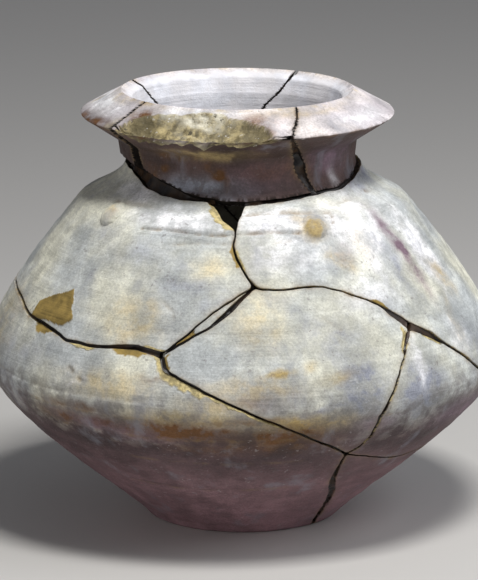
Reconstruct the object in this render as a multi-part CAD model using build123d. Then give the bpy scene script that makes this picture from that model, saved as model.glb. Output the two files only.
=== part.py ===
"""A mended pottery jar: a wide body, a short neck and a heavy everted rim, all put back together.

The jar stands on its base. +Z is up, the origin is the middle of the base's underside and the
front faces -Y. Azimuths are degrees from the front towards +X, and lengths are millimetres.
Each sherd is one solid, and so is each bead of adhesive in the joins between the sherds.
Break lines are drawn on the outer surface as (azimuth, height, gap). A negative height lies on
the underside, that far in from the edge of the base.
"""

import os
from math import cos, radians, sin

from build123d import *

# The vessel
HEIGHT = 217.0
WALL = 8.0
FLOOR = 9.0
BASE_RADIUS = 48.0
FOOT_HEIGHT = 4.0
FOOT_FLARE = 3.5
BELLY_RADIUS = 130.0
BELLY_HEIGHT = 83.0
BELLY_ROUND = 19.0
SHOULDER_RADIUS = 81.0
SHOULDER_HEIGHT = 164.0
NECK_RADIUS = 58.5
NECK_FOOT = 184.0
RIM_ROOT_HEIGHT = 193.0
RIM_ROOT_FLARE = 1.5
LIP_RADIUS = 79.0
LIP_HEIGHT = 205.5
CREST_RADIUS = 58.0
MOUTH_BEVEL = 5.5
BEVEL_DROP = 3.5
RIM_SHIFT = 2.8
FLOOR_CORNER = 2.0

# How far the controls of the wall's curves reach, as shares of the curve's width and height
LOWER_PULL = (0.35, 0.29)
UPPER_PULL = (0.45, 0.32)
LEDGE_HOLLOW = (1.75, 3.0)
NECK_RUN = 10.0
INNER_LOWER = (0.25, 0.5, 0.75, 0.92)
INNER_UPPER = (0.1, 0.3, 0.55, 0.8)
INNER_LEDGE = (0.35, 0.7, 1.0)
READINGS = 12

# The joins
GLUE_DEPTH = 1.8
NECK_JOIN = 171.0
DRAWN_NECK_FOOT = 184.0
BODY_APEX = Vector(0, 0, BELLY_HEIGHT - 3.0)
RIM_APEX = Vector(-RIM_SHIFT, 0, RIM_ROOT_HEIGHT + 3.0)
NECK_APEX = Vector(0, 0, NECK_FOOT - 44.0)
NEAR = 0.55
FAR = 1.4
SKYWARD = 3.2
OVERRUN = 1.2
RIM_GLUE_INSET = 1.6
RIM_SEED_RISE = 4.0

# The broken lip and the applied pellets
SPALL_DEPTH = 3.6
SPALL_EDGE = 0.8
SPALL_STEEPNESS = 2.5
PELLET_RADIUS = 5.6
PELLET_SINK = 2.2
PELLETS = {"shoulder_left": (-52.3, 163.0), "shoulder_right": (25.0, 162.0)}

# Where three or more joins meet
LEFT = (-19.0, 108.0)
CENTRE = (3.0, 138.0)
RIGHT = (43.5, 115.0)
LOW = (26.5, 55.0)
BACK_LEFT = (-112.0, 121.0)
BACK_SIDE = (-150.0, 90.0)
BACK_TOP = (-176.0, 108.0)
BACK_RIGHT = (-224.0, 84.0)
SIDE = (108.0, 82.0)
HEEL = (112.0, 45.0)
BACK_HEEL = (-146.0, 48.0)
UNDERSIDE = (20.0, -38.0)

BODY_JOINS = {
    "left_shoulder": [
        (*LEFT, 3.0), (-25, 110, 2.6), (-33, 109.5, 1.6), (-38, 108.3, 1.5), (-45, 108.4, 1.5),
        (-54, 111.8, 2.2), (-62.5, 113.8, 1.6), (-71, 117.4, 1.5), (-84, 120, 1.4),
        (-98, 118, 1.4), (*BACK_LEFT, 1.6),
    ],
    "sliver_upper": [
        (*LEFT, 1.0), (-13, 118.5, 0.9), (-10.8, 122.9, 0.8), (-5.7, 129.6, 0.8), (-2.8, 132.5, 0.8),
        (0.2, 135.5, 0.8), (*CENTRE, 0.8),
    ],
    "sliver_lower": [
        (*LEFT, 1.6), (-14.3, 114.2, 1.2), (-8.7, 120.5, 1.2), (-5.6, 125.0, 2.0), (-3.2, 128.6, 2.6),
        (1.5, 135.6, 1.4), (*CENTRE, 1.2),
    ],
    "upper_front": [
        (*CENTRE, 1.2), (1, 142.4, 1.0), (-0.4, 146, 1.0), (-1.9, 150, 1.1), (-3, 153.5, 1.0),
        (-3.3, 156.3, 0.9), (-2.9, 158, 0.9), (-2.4, 163, 0.9),
    ],
    "right_shoulder": [
        (*CENTRE, 1.2), (5.3, 136.8, 1.0), (11.6, 136.6, 0.9), (21.8, 136.7, 0.9), (27.3, 134.3, 0.9),
        (34.2, 129.1, 1.0), (37.5, 125.4, 1.2), (39.2, 122, 3.0), (*RIGHT, 4.0),
    ],
    "right_side": [
        (*RIGHT, 4.0), (49.6, 109, 3.2), (52.6, 104.5, 1.8), (56.7, 98.2, 1.5), (63.2, 88.2, 1.5),
        (72, 80, 1.4), (84, 76, 1.4), (97, 79, 1.5), (*SIDE, 1.6),
    ],
    "right_belly": [
        (*RIGHT, 1.6), (41.1, 107, 1.3), (38.6, 101.7, 1.2), (36.7, 96.2, 1.2), (33, 84.6, 1.6),
        (31, 75.6, 2.4), (31.1, 65.3, 1.6), (29.5, 59, 1.3), (*LOW, 1.2),
    ],
    "front_belly": [
        (*LEFT, 2.5), (-17.8, 102, 2.0), (-16.3, 100, 1.5), (-10.2, 94.8, 1.3), (-4.4, 89, 1.2),
        (0.2, 84.2, 1.2), (6.7, 77.9, 1.2), (13.7, 70, 1.2), (20.7, 61.7, 1.3), (*LOW, 1.2),
    ],
    "right_foot": [
        (*LOW, 1.2), (27.2, 46.5, 1.6), (30.5, 32.8, 3.8), (37.7, 19.4, 3.2), (43.3, 7.3, 2.6),
        (46.5, 1.0, 2.4), (47, -4, 2.0), (40, -22, 1.5), (*UNDERSIDE, 1.5),
    ],
    "right_lower": [
        (*LOW, 0.9), (34.7, 50.1, 0.8), (42.6, 47, 0.8), (48.8, 44.8, 0.8), (53.7, 44, 0.9),
        (66, 43, 1.0), (80, 46, 1.0), (95, 42, 1.1), (*HEEL, 1.2),
    ],
    "left_back_shoulder": [
        (*BACK_LEFT, 1.6), (-108, 135, 1.3), (-113, 150, 1.2), (-109, 165, 1.2), (-106, 190, 1.4),
    ],
    "left_back_belly": [
        (*BACK_LEFT, 1.6), (-126, 112, 1.3), (-141, 98, 1.2), (*BACK_SIDE, 1.3),
    ],
    "back_belly": [
        (*BACK_SIDE, 1.3), (-144, 70, 1.2), (*BACK_HEEL, 1.4),
    ],
    "left_back_foot": [
        (*BACK_HEEL, 1.4), (-138, 28, 1.3), (-134, 10, 1.5), (-131, 0, 1.4), (-126, -20, 1.3),
        (-120, -40, 1.3), (*UNDERSIDE, 1.5),
    ],
    "right_back_foot": [
        (*HEEL, 1.2), (120, 28, 1.3), (116, 10, 1.6), (118, 0, 1.5), (112, -18, 1.3), (80, -36, 1.3),
        (*UNDERSIDE, 1.5),
    ],
    "right_heel": [
        (*HEEL, 1.2), (115, 62, 1.2), (*SIDE, 1.6),
    ],
    "back_shoulder_left": [
        (*BACK_SIDE, 1.3), (-163, 97, 1.2), (*BACK_TOP, 1.3),
    ],
    "back_shoulder_right": [
        (*BACK_TOP, 1.3), (-188, 112, 1.2), (-202, 104, 1.3), (-215, 92, 1.2), (*BACK_RIGHT, 1.3),
    ],
    "back_upright": [
        (*BACK_TOP, 1.3), (-181, 125, 1.1), (-174, 142, 1.2), (-178, 160, 1.1), (-175, 190, 1.3),
    ],
    "right_back_belly": [
        (*SIDE, 1.6), (122, 86, 1.2), (*BACK_RIGHT, 1.3),
    ],
    "back_lower": [
        (*BACK_RIGHT, 1.3), (-213, 66, 1.2), (-204, 50, 1.2), (-190, 44, 1.1), (-172, 47, 1.2),
        (-158, 44, 1.2), (*BACK_HEEL, 1.4),
    ],
    "right_back_shoulder": [
        (*SIDE, 1.6), (111, 100, 1.3), (106, 120, 1.2), (110, 140, 1.3), (107, 160, 1.2),
        (109, 190, 1.4),
    ],
}

# On the rim a height is a place on its outline: 0 the neck join, 1 the root, 2 the lip, 3 the crest.
RIM_JOINS = {
    "rim_front_left": [
        (-53, -0.5, 2.4), (-54.5, 0.3, 2.2), (-57, 0.6, 2.0), (-57.5, 1.0, 1.8), (-53, 1.9, 1.6),
        (-52, 2.3, 1.4), (-51, 2.8, 1.4), (-51, 3.5, 1.4),
    ],
    "rim_front_right": [
        (39, -0.5, 1.8), (37.5, 0.1, 2.0), (34.6, 0.4, 4.0), (31, 0.75, 6.0), (29, 1.0, 4.0),
        (20.4, 1.95, 1.1), (22, 2.25, 1.0), (27, 2.7, 1.0), (29.5, 2.95, 1.0), (31, 3.5, 1.0),
    ],
    "rim_back_left": [
        (-131, -0.5, 1.4), (-133, 1.0, 1.3), (-128, 2.0, 1.2), (-121, 2.5, 1.2), (-114, 3.0, 1.2),
        (-110, 3.5, 1.2),
    ],
    "rim_back_right": [
        (166, -0.5, 1.5), (168, 0.9, 1.3), (164, 1.6, 1.2), (157, 2.3, 1.2), (148, 3.0, 1.2),
        (144, 3.5, 1.2),
    ],
}

# The wavy join under the neck: (azimuth, height of the body's edge, gap up to the neck's edge)
NECK_EDGE = [
    (-165, 178, 1.6), (-145, 179, 1.5), (-125, 178, 1.8), (-105, 180, 1.6), (-86, 180.5, 2.2),
    (-66, 179, 3.6), (-52, 175.3, 5.2), (-38, 172.9, 5.0), (-28, 172.4, 2.8), (-19, 172, 1.8),
    (-9.5, 171.5, 1.4), (3, 171.2, 1.7), (12, 171.8, 1.5), (25, 172.8, 1.3), (37, 174, 1.3),
    (50, 174.4, 1.4), (63, 176.7, 1.5), (76, 179, 1.5), (95, 180, 1.5), (115, 179, 1.6),
    (135, 177.5, 1.5), (155, 178.5, 1.7), (175, 178, 1.6),
]

# The chip lost from the top of the shoulder, and the flake lost from the lip: (azimuth, radius)
CHIP = [
    (-13.5, 178), (-12.5, 171.6), (-7.6, 166.8), (-2.4, 162.5), (-1.4, 166.5), (0.6, 171), (0.8, 178),
]
SPALL = [
    (-49.0, 76.5), (-47.0, 70.4), (-43.0, 67.0), (-33.9, 64.9), (-22.2, 62.5), (-13.9, 61.0),
    (-7.4, 62.2), (0.0, 65.0), (7.3, 67.7), (11.6, 70.9), (13.6, 77.5),
]

# A place well inside each sherd, which tells the cut solids apart
BODY_SHERDS = {
    "shoulder_left": (-40, 145),
    "shoulder_right": (50, 145),
    "shoulder_back_left": (-145, 145),
    "shoulder_back_right": (150, 145),
    "belly_sliver": (-9.2, 122.4),
    "belly_centre": (18, 105),
    "belly_right": (70, 60),
    "belly_back": (-175, 75),
    "lower_left": (-60, 60),
    "lower_right": (70, 25),
    "lower_back": (160, 25),
}
RIM_SHERDS = {"rim_left": -90, "rim_front": -10, "rim_right": 90, "rim_back": -165}


def at(azimuth, radius, height, shift=0.0):
    """The point at an azimuth, radius and height about the vessel's axis, or one moved to -X."""
    angle = radians(azimuth)
    return Vector(radius * sin(angle) - shift, -radius * cos(angle), height)


def in_section(radius, height):
    """A point of the half section, which is drawn on the +X side of the axis."""
    return Vector(radius, 0, height)


FOOT = in_section(BASE_RADIUS + FOOT_FLARE, FOOT_HEIGHT)
BELLY = in_section(BELLY_RADIUS, BELLY_HEIGHT)
SHOULDER = in_section(SHOULDER_RADIUS, SHOULDER_HEIGHT)
NECK = in_section(NECK_RADIUS, NECK_FOOT)
ROOT = in_section(NECK_RADIUS + RIM_ROOT_FLARE, RIM_ROOT_HEIGHT)
LIP = in_section(LIP_RADIUS, LIP_HEIGHT)
CREST = in_section(CREST_RADIUS, HEIGHT)
MOUTH = in_section(CREST_RADIUS - MOUTH_BEVEL, HEIGHT - BEVEL_DROP)
THROAT = in_section(NECK_RADIUS - WALL, LIP_HEIGHT)

LOWER_WALL = Bezier(
    FOOT,
    FOOT + in_section((BELLY_RADIUS - BASE_RADIUS) * LOWER_PULL[0], BELLY_HEIGHT * LOWER_PULL[1]),
    BELLY - in_section(0, BELLY_ROUND),
    BELLY,
)
SHOULDER_RUN = in_section(BELLY_RADIUS - SHOULDER_RADIUS, BELLY_HEIGHT - SHOULDER_HEIGHT)
UPPER_WALL = Bezier(
    BELLY,
    BELLY + in_section(0, BELLY_ROUND),
    SHOULDER + in_section(SHOULDER_RUN.X * UPPER_PULL[0], SHOULDER_RUN.Z * UPPER_PULL[1]),
    SHOULDER,
)
LEDGE = Bezier(
    SHOULDER,
    SHOULDER + (NECK - SHOULDER).multiply(0.5) - in_section(*LEDGE_HOLLOW),
    NECK - in_section(0, NECK_RUN),
    NECK,
)


def outer_points():
    """The outer wall from the foot to the neck, as points close enough to read a radius from."""
    curves = (LOWER_WALL, UPPER_WALL, LEDGE)
    return [curve @ (step / READINGS) for curve in curves for step in range(READINGS + 1)]


OUTER = outer_points()


def outer_radius(height):
    """The outer radius of the body at a height, held at the neck's radius above its foot."""
    for low, high in zip(OUTER, OUTER[1:]):
        if low.Z <= height < high.Z:
            share = (height - low.Z) / (high.Z - low.Z)
            return low.X + share * (high.X - low.X)
    return BASE_RADIUS if height < FOOT_HEIGHT else NECK_RADIUS


def body_point(azimuth, height):
    """A point on the outside of the body, or on its underside where the height is negative."""
    if height < 0:
        return at(azimuth, BASE_RADIUS + height, 0)
    real = height * NECK_FOOT / DRAWN_NECK_FOOT
    return at(azimuth, outer_radius(real), real)


def rim_point(azimuth, place):
    """A point on the outline of the rim, which runs on past the neck join and past the crest."""
    corners = [in_section(NECK_RADIUS, NECK_JOIN), ROOT, LIP, CREST]
    first = max(0, min(2, int(place)))
    spot = corners[first] + (corners[first + 1] - corners[first]) * (place - first)
    return at(azimuth, spot.X, spot.Z, RIM_SHIFT)


def inner_point(curve, share, depth):
    """The point under the outer wall at a share of one of its curves, at a depth in the wall."""
    direction = curve % share
    return (curve @ share) + in_section(-direction.Z, direction.X) * depth


def wall_curve(depth):
    """The points of a surface that runs at a depth in the wall, from the floor to the neck."""
    places = [(LOWER_WALL, share) for share in INNER_LOWER]
    places += [(UPPER_WALL, share) for share in INNER_UPPER]
    places += [(LEDGE, share) for share in INNER_LEDGE]
    return [inner_point(curve, share, depth) for curve, share in places]


def vessel():
    """The whole jar before it broke, turned about the Z axis."""
    floor_edge = in_section(BASE_RADIUS - WALL - FLOOR_CORNER, FLOOR)
    inside = wall_curve(WALL)
    outline = Curve() + [
        Polyline((0, 0, 0), (BASE_RADIUS, 0, 0), FOOT),
        LOWER_WALL,
        UPPER_WALL,
        LEDGE,
        Polyline(NECK, ROOT, LIP, CREST, MOUTH, THROAT, inside[-1]),
        Spline(floor_edge, *inside),
        Polyline(floor_edge, (0, 0, FLOOR), (0, 0, 0)),
    ]
    return revolve(Face(Wire(outline.edges())), Axis.Z)


def glue_core():
    """What the adhesive fills: the middle of the wall, short of every surface by GLUE_DEPTH."""
    deep = WALL - GLUE_DEPTH
    outer = wall_curve(GLUE_DEPTH)
    inner = wall_curve(deep)
    low = in_section(BASE_RADIUS - GLUE_DEPTH, GLUE_DEPTH)
    middle = (LIP + CREST + MOUTH + ROOT) * 0.25
    inset = GLUE_DEPTH * RIM_GLUE_INSET
    rim = [corner + (middle - corner).normalized() * inset for corner in (LIP, CREST, MOUTH)]
    points = [in_section(0, GLUE_DEPTH), low, *outer, ROOT - in_section(GLUE_DEPTH, 0), *rim]
    points += [THROAT + in_section(GLUE_DEPTH, 0), *reversed(inner)]
    points += [in_section(low.X - deep, FLOOR - GLUE_DEPTH), in_section(0, FLOOR - GLUE_DEPTH)]
    return revolve(Face(Wire.make_polygon(points)), Axis.Z)


def facet(*corners):
    """A flat face between three or more corners."""
    return Face(Wire.make_polygon(corners))


def closed(faces):
    """The solid inside a closed set of faces."""
    solid = Solid(Shell(faces))
    return solid if solid.volume > 0 else -solid


def scaled(apex, point, factor):
    """A point moved along its line from the apex."""
    return apex + (point - apex) * factor


def rails(apex, points, gaps):
    """The two edges of a join on the surface: each point moved sideways by half of its gap."""
    left, right = [], []
    for index, point in enumerate(points):
        ahead = points[min(index + 1, len(points) - 1)]
        behind = points[max(index - 1, 0)]
        along = (ahead - behind).normalized()
        side = along.cross((point - apex).normalized()).normalized() * (gaps[index] / 2)
        left.append(point + side)
        right.append(point - side)
    return left, right


def blade(apex, points, gaps):
    """A thin wedge that opens from the apex through a join, a little longer than the join."""
    start = points[0] + (points[0] - points[1]).normalized() * OVERRUN
    end = points[-1] + (points[-1] - points[-2]).normalized() * OVERRUN
    left, right = rails(apex, [start, *points, end], [gaps[0], *gaps, gaps[-1]])
    near = [[scaled(apex, point, NEAR) for point in rail] for rail in (left, right)]
    far = [[scaled(apex, point, FAR) for point in rail] for rail in (left, right)]
    faces = [
        facet(near[0][0], far[0][0], far[1][0], near[1][0]),
        facet(near[0][-1], far[0][-1], far[1][-1], near[1][-1]),
    ]
    for low, high in zip(range(len(left)), range(1, len(left))):
        for side in (0, 1):
            faces.append(facet(near[side][low], far[side][low], far[side][high], near[side][high]))
        for skin in (near, far):
            faces.append(facet(skin[0][low], skin[1][low], skin[1][high]))
            faces.append(facet(skin[0][low], skin[1][high], skin[0][high]))
    return closed(faces)


def frustum(apex, ring, near=NEAR, far=FAR):
    """What the apex sees through a closed ring of points, between two distances."""
    inner = [scaled(apex, point, near) for point in ring]
    outer = [scaled(apex, point, far) for point in ring]
    faces = []
    for low in range(len(ring)):
        high = (low + 1) % len(ring)
        faces.append(facet(inner[low], outer[low], outer[high], inner[high]))
        for skin in (inner, outer):
            middle = sum(skin, Vector()) * (1 / len(skin))
            faces.append(facet(skin[low], skin[high], middle))
    return closed(faces)


def spall_cutter():
    """The flake that broke from the top of the lip, lofted with flat facets from section to section."""
    rings = []
    for azimuth, radius in SPALL:
        share = (LIP_RADIUS - radius) / (LIP_RADIUS - CREST_RADIUS)
        edge = LIP_HEIGHT + share * (HEIGHT - LIP_HEIGHT)
        hollow = SPALL_DEPTH * min(1.0, share * SPALL_STEEPNESS)
        section = [
            (radius, edge),
            ((radius + LIP_RADIUS) / 2, (edge + LIP_HEIGHT) / 2 - hollow),
            (LIP_RADIUS + SPALL_EDGE, LIP_HEIGHT - SPALL_EDGE * 2),
            (LIP_RADIUS + WALL, LIP_HEIGHT),
            (LIP_RADIUS + WALL, HEIGHT + WALL),
            (radius + SPALL_EDGE, HEIGHT + WALL),
        ]
        rings.append([at(azimuth, spot[0], spot[1], RIM_SHIFT) for spot in section])
    faces = []
    for ring in (rings[0], rings[-1]):
        faces.append(facet(*ring))
    for ring, following in zip(rings, rings[1:]):
        for low in range(len(ring)):
            high = (low + 1) % len(ring)
            faces.append(facet(ring[low], ring[high], following[high]))
            faces.append(facet(ring[low], following[high], following[low]))
    return closed(faces)


def pellet(azimuth, height):
    """A ball of clay pressed on the shoulder, sunk into it and clear of the inner wall."""
    outer = body_point(azimuth, height)
    inward = (BODY_APEX - outer).normalized()
    centre = outer + inward * PELLET_SINK
    return Pos(centre.X, centre.Y, centre.Z) * Sphere(PELLET_RADIUS)


def largest(shape):
    """The biggest solid of a cut, without the crumbs."""
    return max(shape.solids(), key=lambda solid: solid.volume)


def sherd_at(pieces, spot):
    """The one solid that holds a point."""
    held = [piece for piece in pieces if piece.is_inside(spot)]
    if len(held) != 1:
        raise ValueError(f"{len(held)} solids hold {spot}")
    return held[0]


def blades_of(joins, apex, place):
    """The blade of every join in a group."""
    cutters = {}
    for name, course in joins.items():
        points = [place(azimuth, height) for azimuth, height, _ in course]
        cutters[name] = blade(apex, points, [gap for _, _, gap in course])
    return cutters


def neck_cones():
    """Two solids that hold all that lies above the body's edge and above the neck's edge."""
    low = [body_point(azimuth, height) for azimuth, height, _ in NECK_EDGE]
    high = [body_point(azimuth, height + gap) for azimuth, height, gap in NECK_EDGE]
    return frustum(NECK_APEX, low, far=SKYWARD), frustum(NECK_APEX, high, far=SKYWARD)


def glue_beads(core, cutters):
    """One bead for each join, cut short where it would run into another join."""
    beads = {}
    for name, cutter in cutters.items():
        others = [other for key, other in cutters.items() if key != name]
        beads[f"glue_{name}"] = largest((cutter & core).cut(*others))
    return beads


def body_nodes(whole, core, above_body):
    """The sherds of the body and the adhesive between them."""
    cutters = blades_of(BODY_JOINS, BODY_APEX, body_point)
    chip = frustum(BODY_APEX, [body_point(azimuth, height) for azimuth, height in CHIP])
    pieces = (whole - above_body).cut(*cutters.values(), chip).solids()
    nodes = {}
    for name, (azimuth, height) in BODY_SHERDS.items():
        outer = body_point(azimuth, height)
        spot = outer + (BODY_APEX - outer).normalized() * (WALL / 2)
        nodes[name] = sherd_at(pieces, spot)
    for name, spot in PELLETS.items():
        nodes[name] = nodes[name] + pellet(*spot)
    nodes.update(glue_beads(core - above_body - chip, cutters))
    return nodes, chip


def rim_nodes(whole, core, above_neck):
    """The sherds of the neck and rim and the adhesive between them."""
    cutters = blades_of(RIM_JOINS, RIM_APEX, rim_point)
    ring = Pos(-RIM_SHIFT, 0, 0) * whole
    pieces = (ring & above_neck).cut(*cutters.values(), spall_cutter()).solids()
    nodes = {}
    for name, azimuth in RIM_SHERDS.items():
        spot = at(azimuth, NECK_RADIUS - WALL / 2, NECK_FOOT + RIM_SEED_RISE, RIM_SHIFT)
        nodes[name] = sherd_at(pieces, spot)
    nodes.update(glue_beads((Pos(-RIM_SHIFT, 0, 0) * core) & above_neck, cutters))
    return nodes


def neck_glue(core, above_body, above_neck, chip):
    """The adhesive under the neck, open where the chip is lost."""
    band = ((core & above_body) - above_neck) - chip
    return {"glue_neck": largest(band)}


def main():
    """Writes every sherd and bead of adhesive to its own STEP file."""
    whole = vessel()
    core = glue_core()
    above_body, above_neck = neck_cones()
    nodes, chip = body_nodes(whole, core, above_body)
    nodes.update(rim_nodes(whole, core, above_neck))
    nodes.update(neck_glue(core, above_body, above_neck, chip))
    os.makedirs("parts", exist_ok=True)
    for name, shape in nodes.items():
        export_step(shape, f"parts/{name}.step")
        print(f"{name}: {len(shape.solids())} solid, {shape.volume:.0f} mm3")


main()
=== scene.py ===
"""The looks of a mended pottery jar, built on its CAD frame.

The jar is a body and a rim, each broken into sherds, with adhesive in the joins. Every CAD node
is seen from an apex on the jar's axis, so a sherd is a patch of directions between an outer and
an inner skin. The sherds, the rim's pieces and the beads of adhesive are worked out as grids
over those directions, with the break lines and both skins read from the frame.
"""

import logging
from dataclasses import dataclass
from enum import Enum

import bmesh
import bpy
import numpy as np
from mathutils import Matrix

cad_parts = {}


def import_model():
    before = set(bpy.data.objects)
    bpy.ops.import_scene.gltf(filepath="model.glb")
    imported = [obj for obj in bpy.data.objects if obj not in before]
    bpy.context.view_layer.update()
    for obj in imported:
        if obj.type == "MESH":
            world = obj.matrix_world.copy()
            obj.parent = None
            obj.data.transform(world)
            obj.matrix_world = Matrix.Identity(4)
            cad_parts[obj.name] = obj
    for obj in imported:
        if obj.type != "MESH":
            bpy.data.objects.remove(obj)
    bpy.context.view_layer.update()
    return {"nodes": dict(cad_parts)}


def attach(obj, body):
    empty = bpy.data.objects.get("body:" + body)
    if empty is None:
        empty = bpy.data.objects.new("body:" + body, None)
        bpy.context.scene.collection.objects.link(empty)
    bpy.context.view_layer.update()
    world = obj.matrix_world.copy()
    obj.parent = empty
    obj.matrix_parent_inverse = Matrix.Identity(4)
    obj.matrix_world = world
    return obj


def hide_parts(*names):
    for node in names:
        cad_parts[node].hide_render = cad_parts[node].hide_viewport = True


LOG = logging.getLogger("jar")
MM = 0.001
EDGE_WEAR = 1.1 * MM
Array = np.ndarray


class Slot(Enum):
    """The record's material slots."""

    BODY = "body_ceramic"
    RIM = "rim_ceramic"
    ADHESIVE = "adhesive"


class Mark(Enum):
    """The masks that a piece carries for its material, one float per vertex."""

    OCHRE = "ochre"
    UMBER = "umber"
    VIOLET = "violet"
    SLATE = "slate"
    CHALK = "chalk"
    EDGE = "edge"
    FRESH = "fresh"
    RESIDUE = "residue"
    SPALL = "spall"
    FRACTURE = "fracture_and_gap_shade"
    INSIDE = "inside"


# --------------------------------------------------------------------------- small mathematics


class ClayNoise:
    """Smooth random values that fill space, the same on every run."""

    CELLS = 32

    def __init__(self, seed: int) -> None:
        """Draws the table of corner values.

        Args:
            seed: picks the table.
        """
        self.table = np.random.default_rng(seed).uniform(-1.0, 1.0, (self.CELLS,) * 3)

    def smooth(self, points: Array, size: float) -> Array:
        """Blends the eight corner values of each point's cell, with weights eased as 3t^2 - 2t^3.

        Args:
            points: places in metres, in the last axis.
            size: edge of a cell in metres.

        Returns:
            Values between -1 and 1, one for each point.
        """
        spot = points / size
        cell = np.floor(spot).astype(int)
        part = spot - cell
        ease = part * part * (3.0 - 2.0 * part)
        total = np.zeros(points.shape[:-1])
        for corner in np.ndindex(2, 2, 2):
            step = np.array(corner)
            weight = np.prod(np.where(step == 1, ease, 1.0 - ease), axis=-1)
            index = (cell + step) % self.CELLS
            total += weight * self.table[index[..., 0], index[..., 1], index[..., 2]]
        return total

    def fractal(self, points: Array, size: float, octaves: int = 3) -> Array:
        """Adds noise at a size and at halves of it, each with half the strength of the last.

        Args:
            points: places in metres.
            size: the largest cell in metres.
            octaves: how many sizes are added.

        Returns:
            Values that are mostly between -1 and 1.
        """
        total = np.zeros(points.shape[:-1])
        for octave in range(octaves):
            share = 0.5**octave
            total += share * self.smooth(points + octave * 0.137, size * share)
        return total


def unit(vectors: Array) -> Array:
    """Scales the vectors in the last axis to length one."""
    return vectors / np.maximum(np.linalg.norm(vectors, axis=-1, keepdims=True), 1e-12)


def ease(low: float, high: float, values: Array) -> Array:
    """Rises from 0 at low to 1 at high as 3t^2 - 2t^3, and stays level outside."""
    part = np.clip((values - low) / (high - low), 0.0, 1.0)
    return part * part * (3.0 - 2.0 * part)


def blend(first: Array, second: Array, share: Array) -> Array:
    """Goes in a straight line from the first to the second."""
    return first + (second - first) * share


def azimuth_of(points: Array) -> Array:
    """Degrees from the front, which faces -Y, towards +X."""
    return np.degrees(np.arctan2(points[..., 0], -points[..., 1]))


def turn_between(azimuth: Array, middle: float) -> Array:
    """How far an azimuth lies from a middle one, between -180 and 180 degrees."""
    return (azimuth - middle + 180.0) % 360.0 - 180.0


def polar(radius: Array, azimuth: Array, height: Array, shift: float = 0.0) -> Array:
    """Points from radius, azimuth in degrees and height, about an axis moved along X by shift."""
    angle = np.radians(azimuth)
    return np.stack([shift + radius * np.sin(angle), -radius * np.cos(angle), height + 0.0 * angle], -1)


def radius_of(points: Array, shift: float = 0.0) -> Array:
    """Distance from an upright axis that is moved along X by shift."""
    return np.hypot(points[..., 0] - shift, points[..., 1])


def tilt_of(ways: Array) -> Array:
    """The angle of each direction from +Z."""
    return np.arctan2(radius_of(ways), ways[..., 2])


def arcs(start: Array, ends: Array, share: Array) -> Array:
    """Directions along great circles: (sin((1 - t) w) start + sin(t w) end) / sin w, w the arc's angle.

    Args:
        start: the direction where every arc starts.
        ends: where each arc ends.
        share: t for each ring and arc.

    Returns:
        Directions by ring and arc.
    """
    angle = np.arccos(np.clip(ends @ start, -1.0, 1.0))
    part = np.sin(share * angle)[..., None] * ends + np.sin((1.0 - share) * angle)[..., None] * start
    return part / np.sin(angle)[:, None]


def resample(points: Array, count: int, closed: bool) -> Array:
    """Places points evenly along a line by its length.

    Args:
        points: the line's points in order.
        count: how many points are wanted.
        closed: whether the line returns to its start.

    Returns:
        The evenly spaced points.
    """
    line = np.vstack([points, points[:1]]) if closed else points
    run = np.concatenate([[0.0], np.cumsum(np.linalg.norm(np.diff(line, axis=0), axis=1))])
    places = np.linspace(0.0, run[-1], count, endpoint=not closed)
    return np.stack([np.interp(places, run, line[:, axis]) for axis in range(3)], -1)


def smoothed(points: Array, reach: float, closed: bool = True) -> Array:
    """Rounds an evenly spaced line with a bell of weights.

    Args:
        points: the line's points.
        reach: the bell's width, in points.
        closed: whether the line returns to its start.

    Returns:
        The rounded line, with its ends kept if it is open.
    """
    half = int(3 * reach) + 1
    if not closed:
        half = min(half, len(points) - 1)
    bell = np.exp(-0.5 * (np.arange(-half, half + 1) / reach) ** 2)
    bell /= bell.sum()
    if closed:
        padded = np.vstack([points[-half:], points, points[:half]])
    else:
        before = 2 * points[0] - points[half:0:-1]
        after = 2 * points[-1] - points[-2:-half - 2:-1]
        padded = np.vstack([before, points, after])
    return np.stack([np.convolve(padded[:, axis], bell, "valid") for axis in range(3)], -1)


# --------------------------------------------------------------------------- reading the frame


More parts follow.
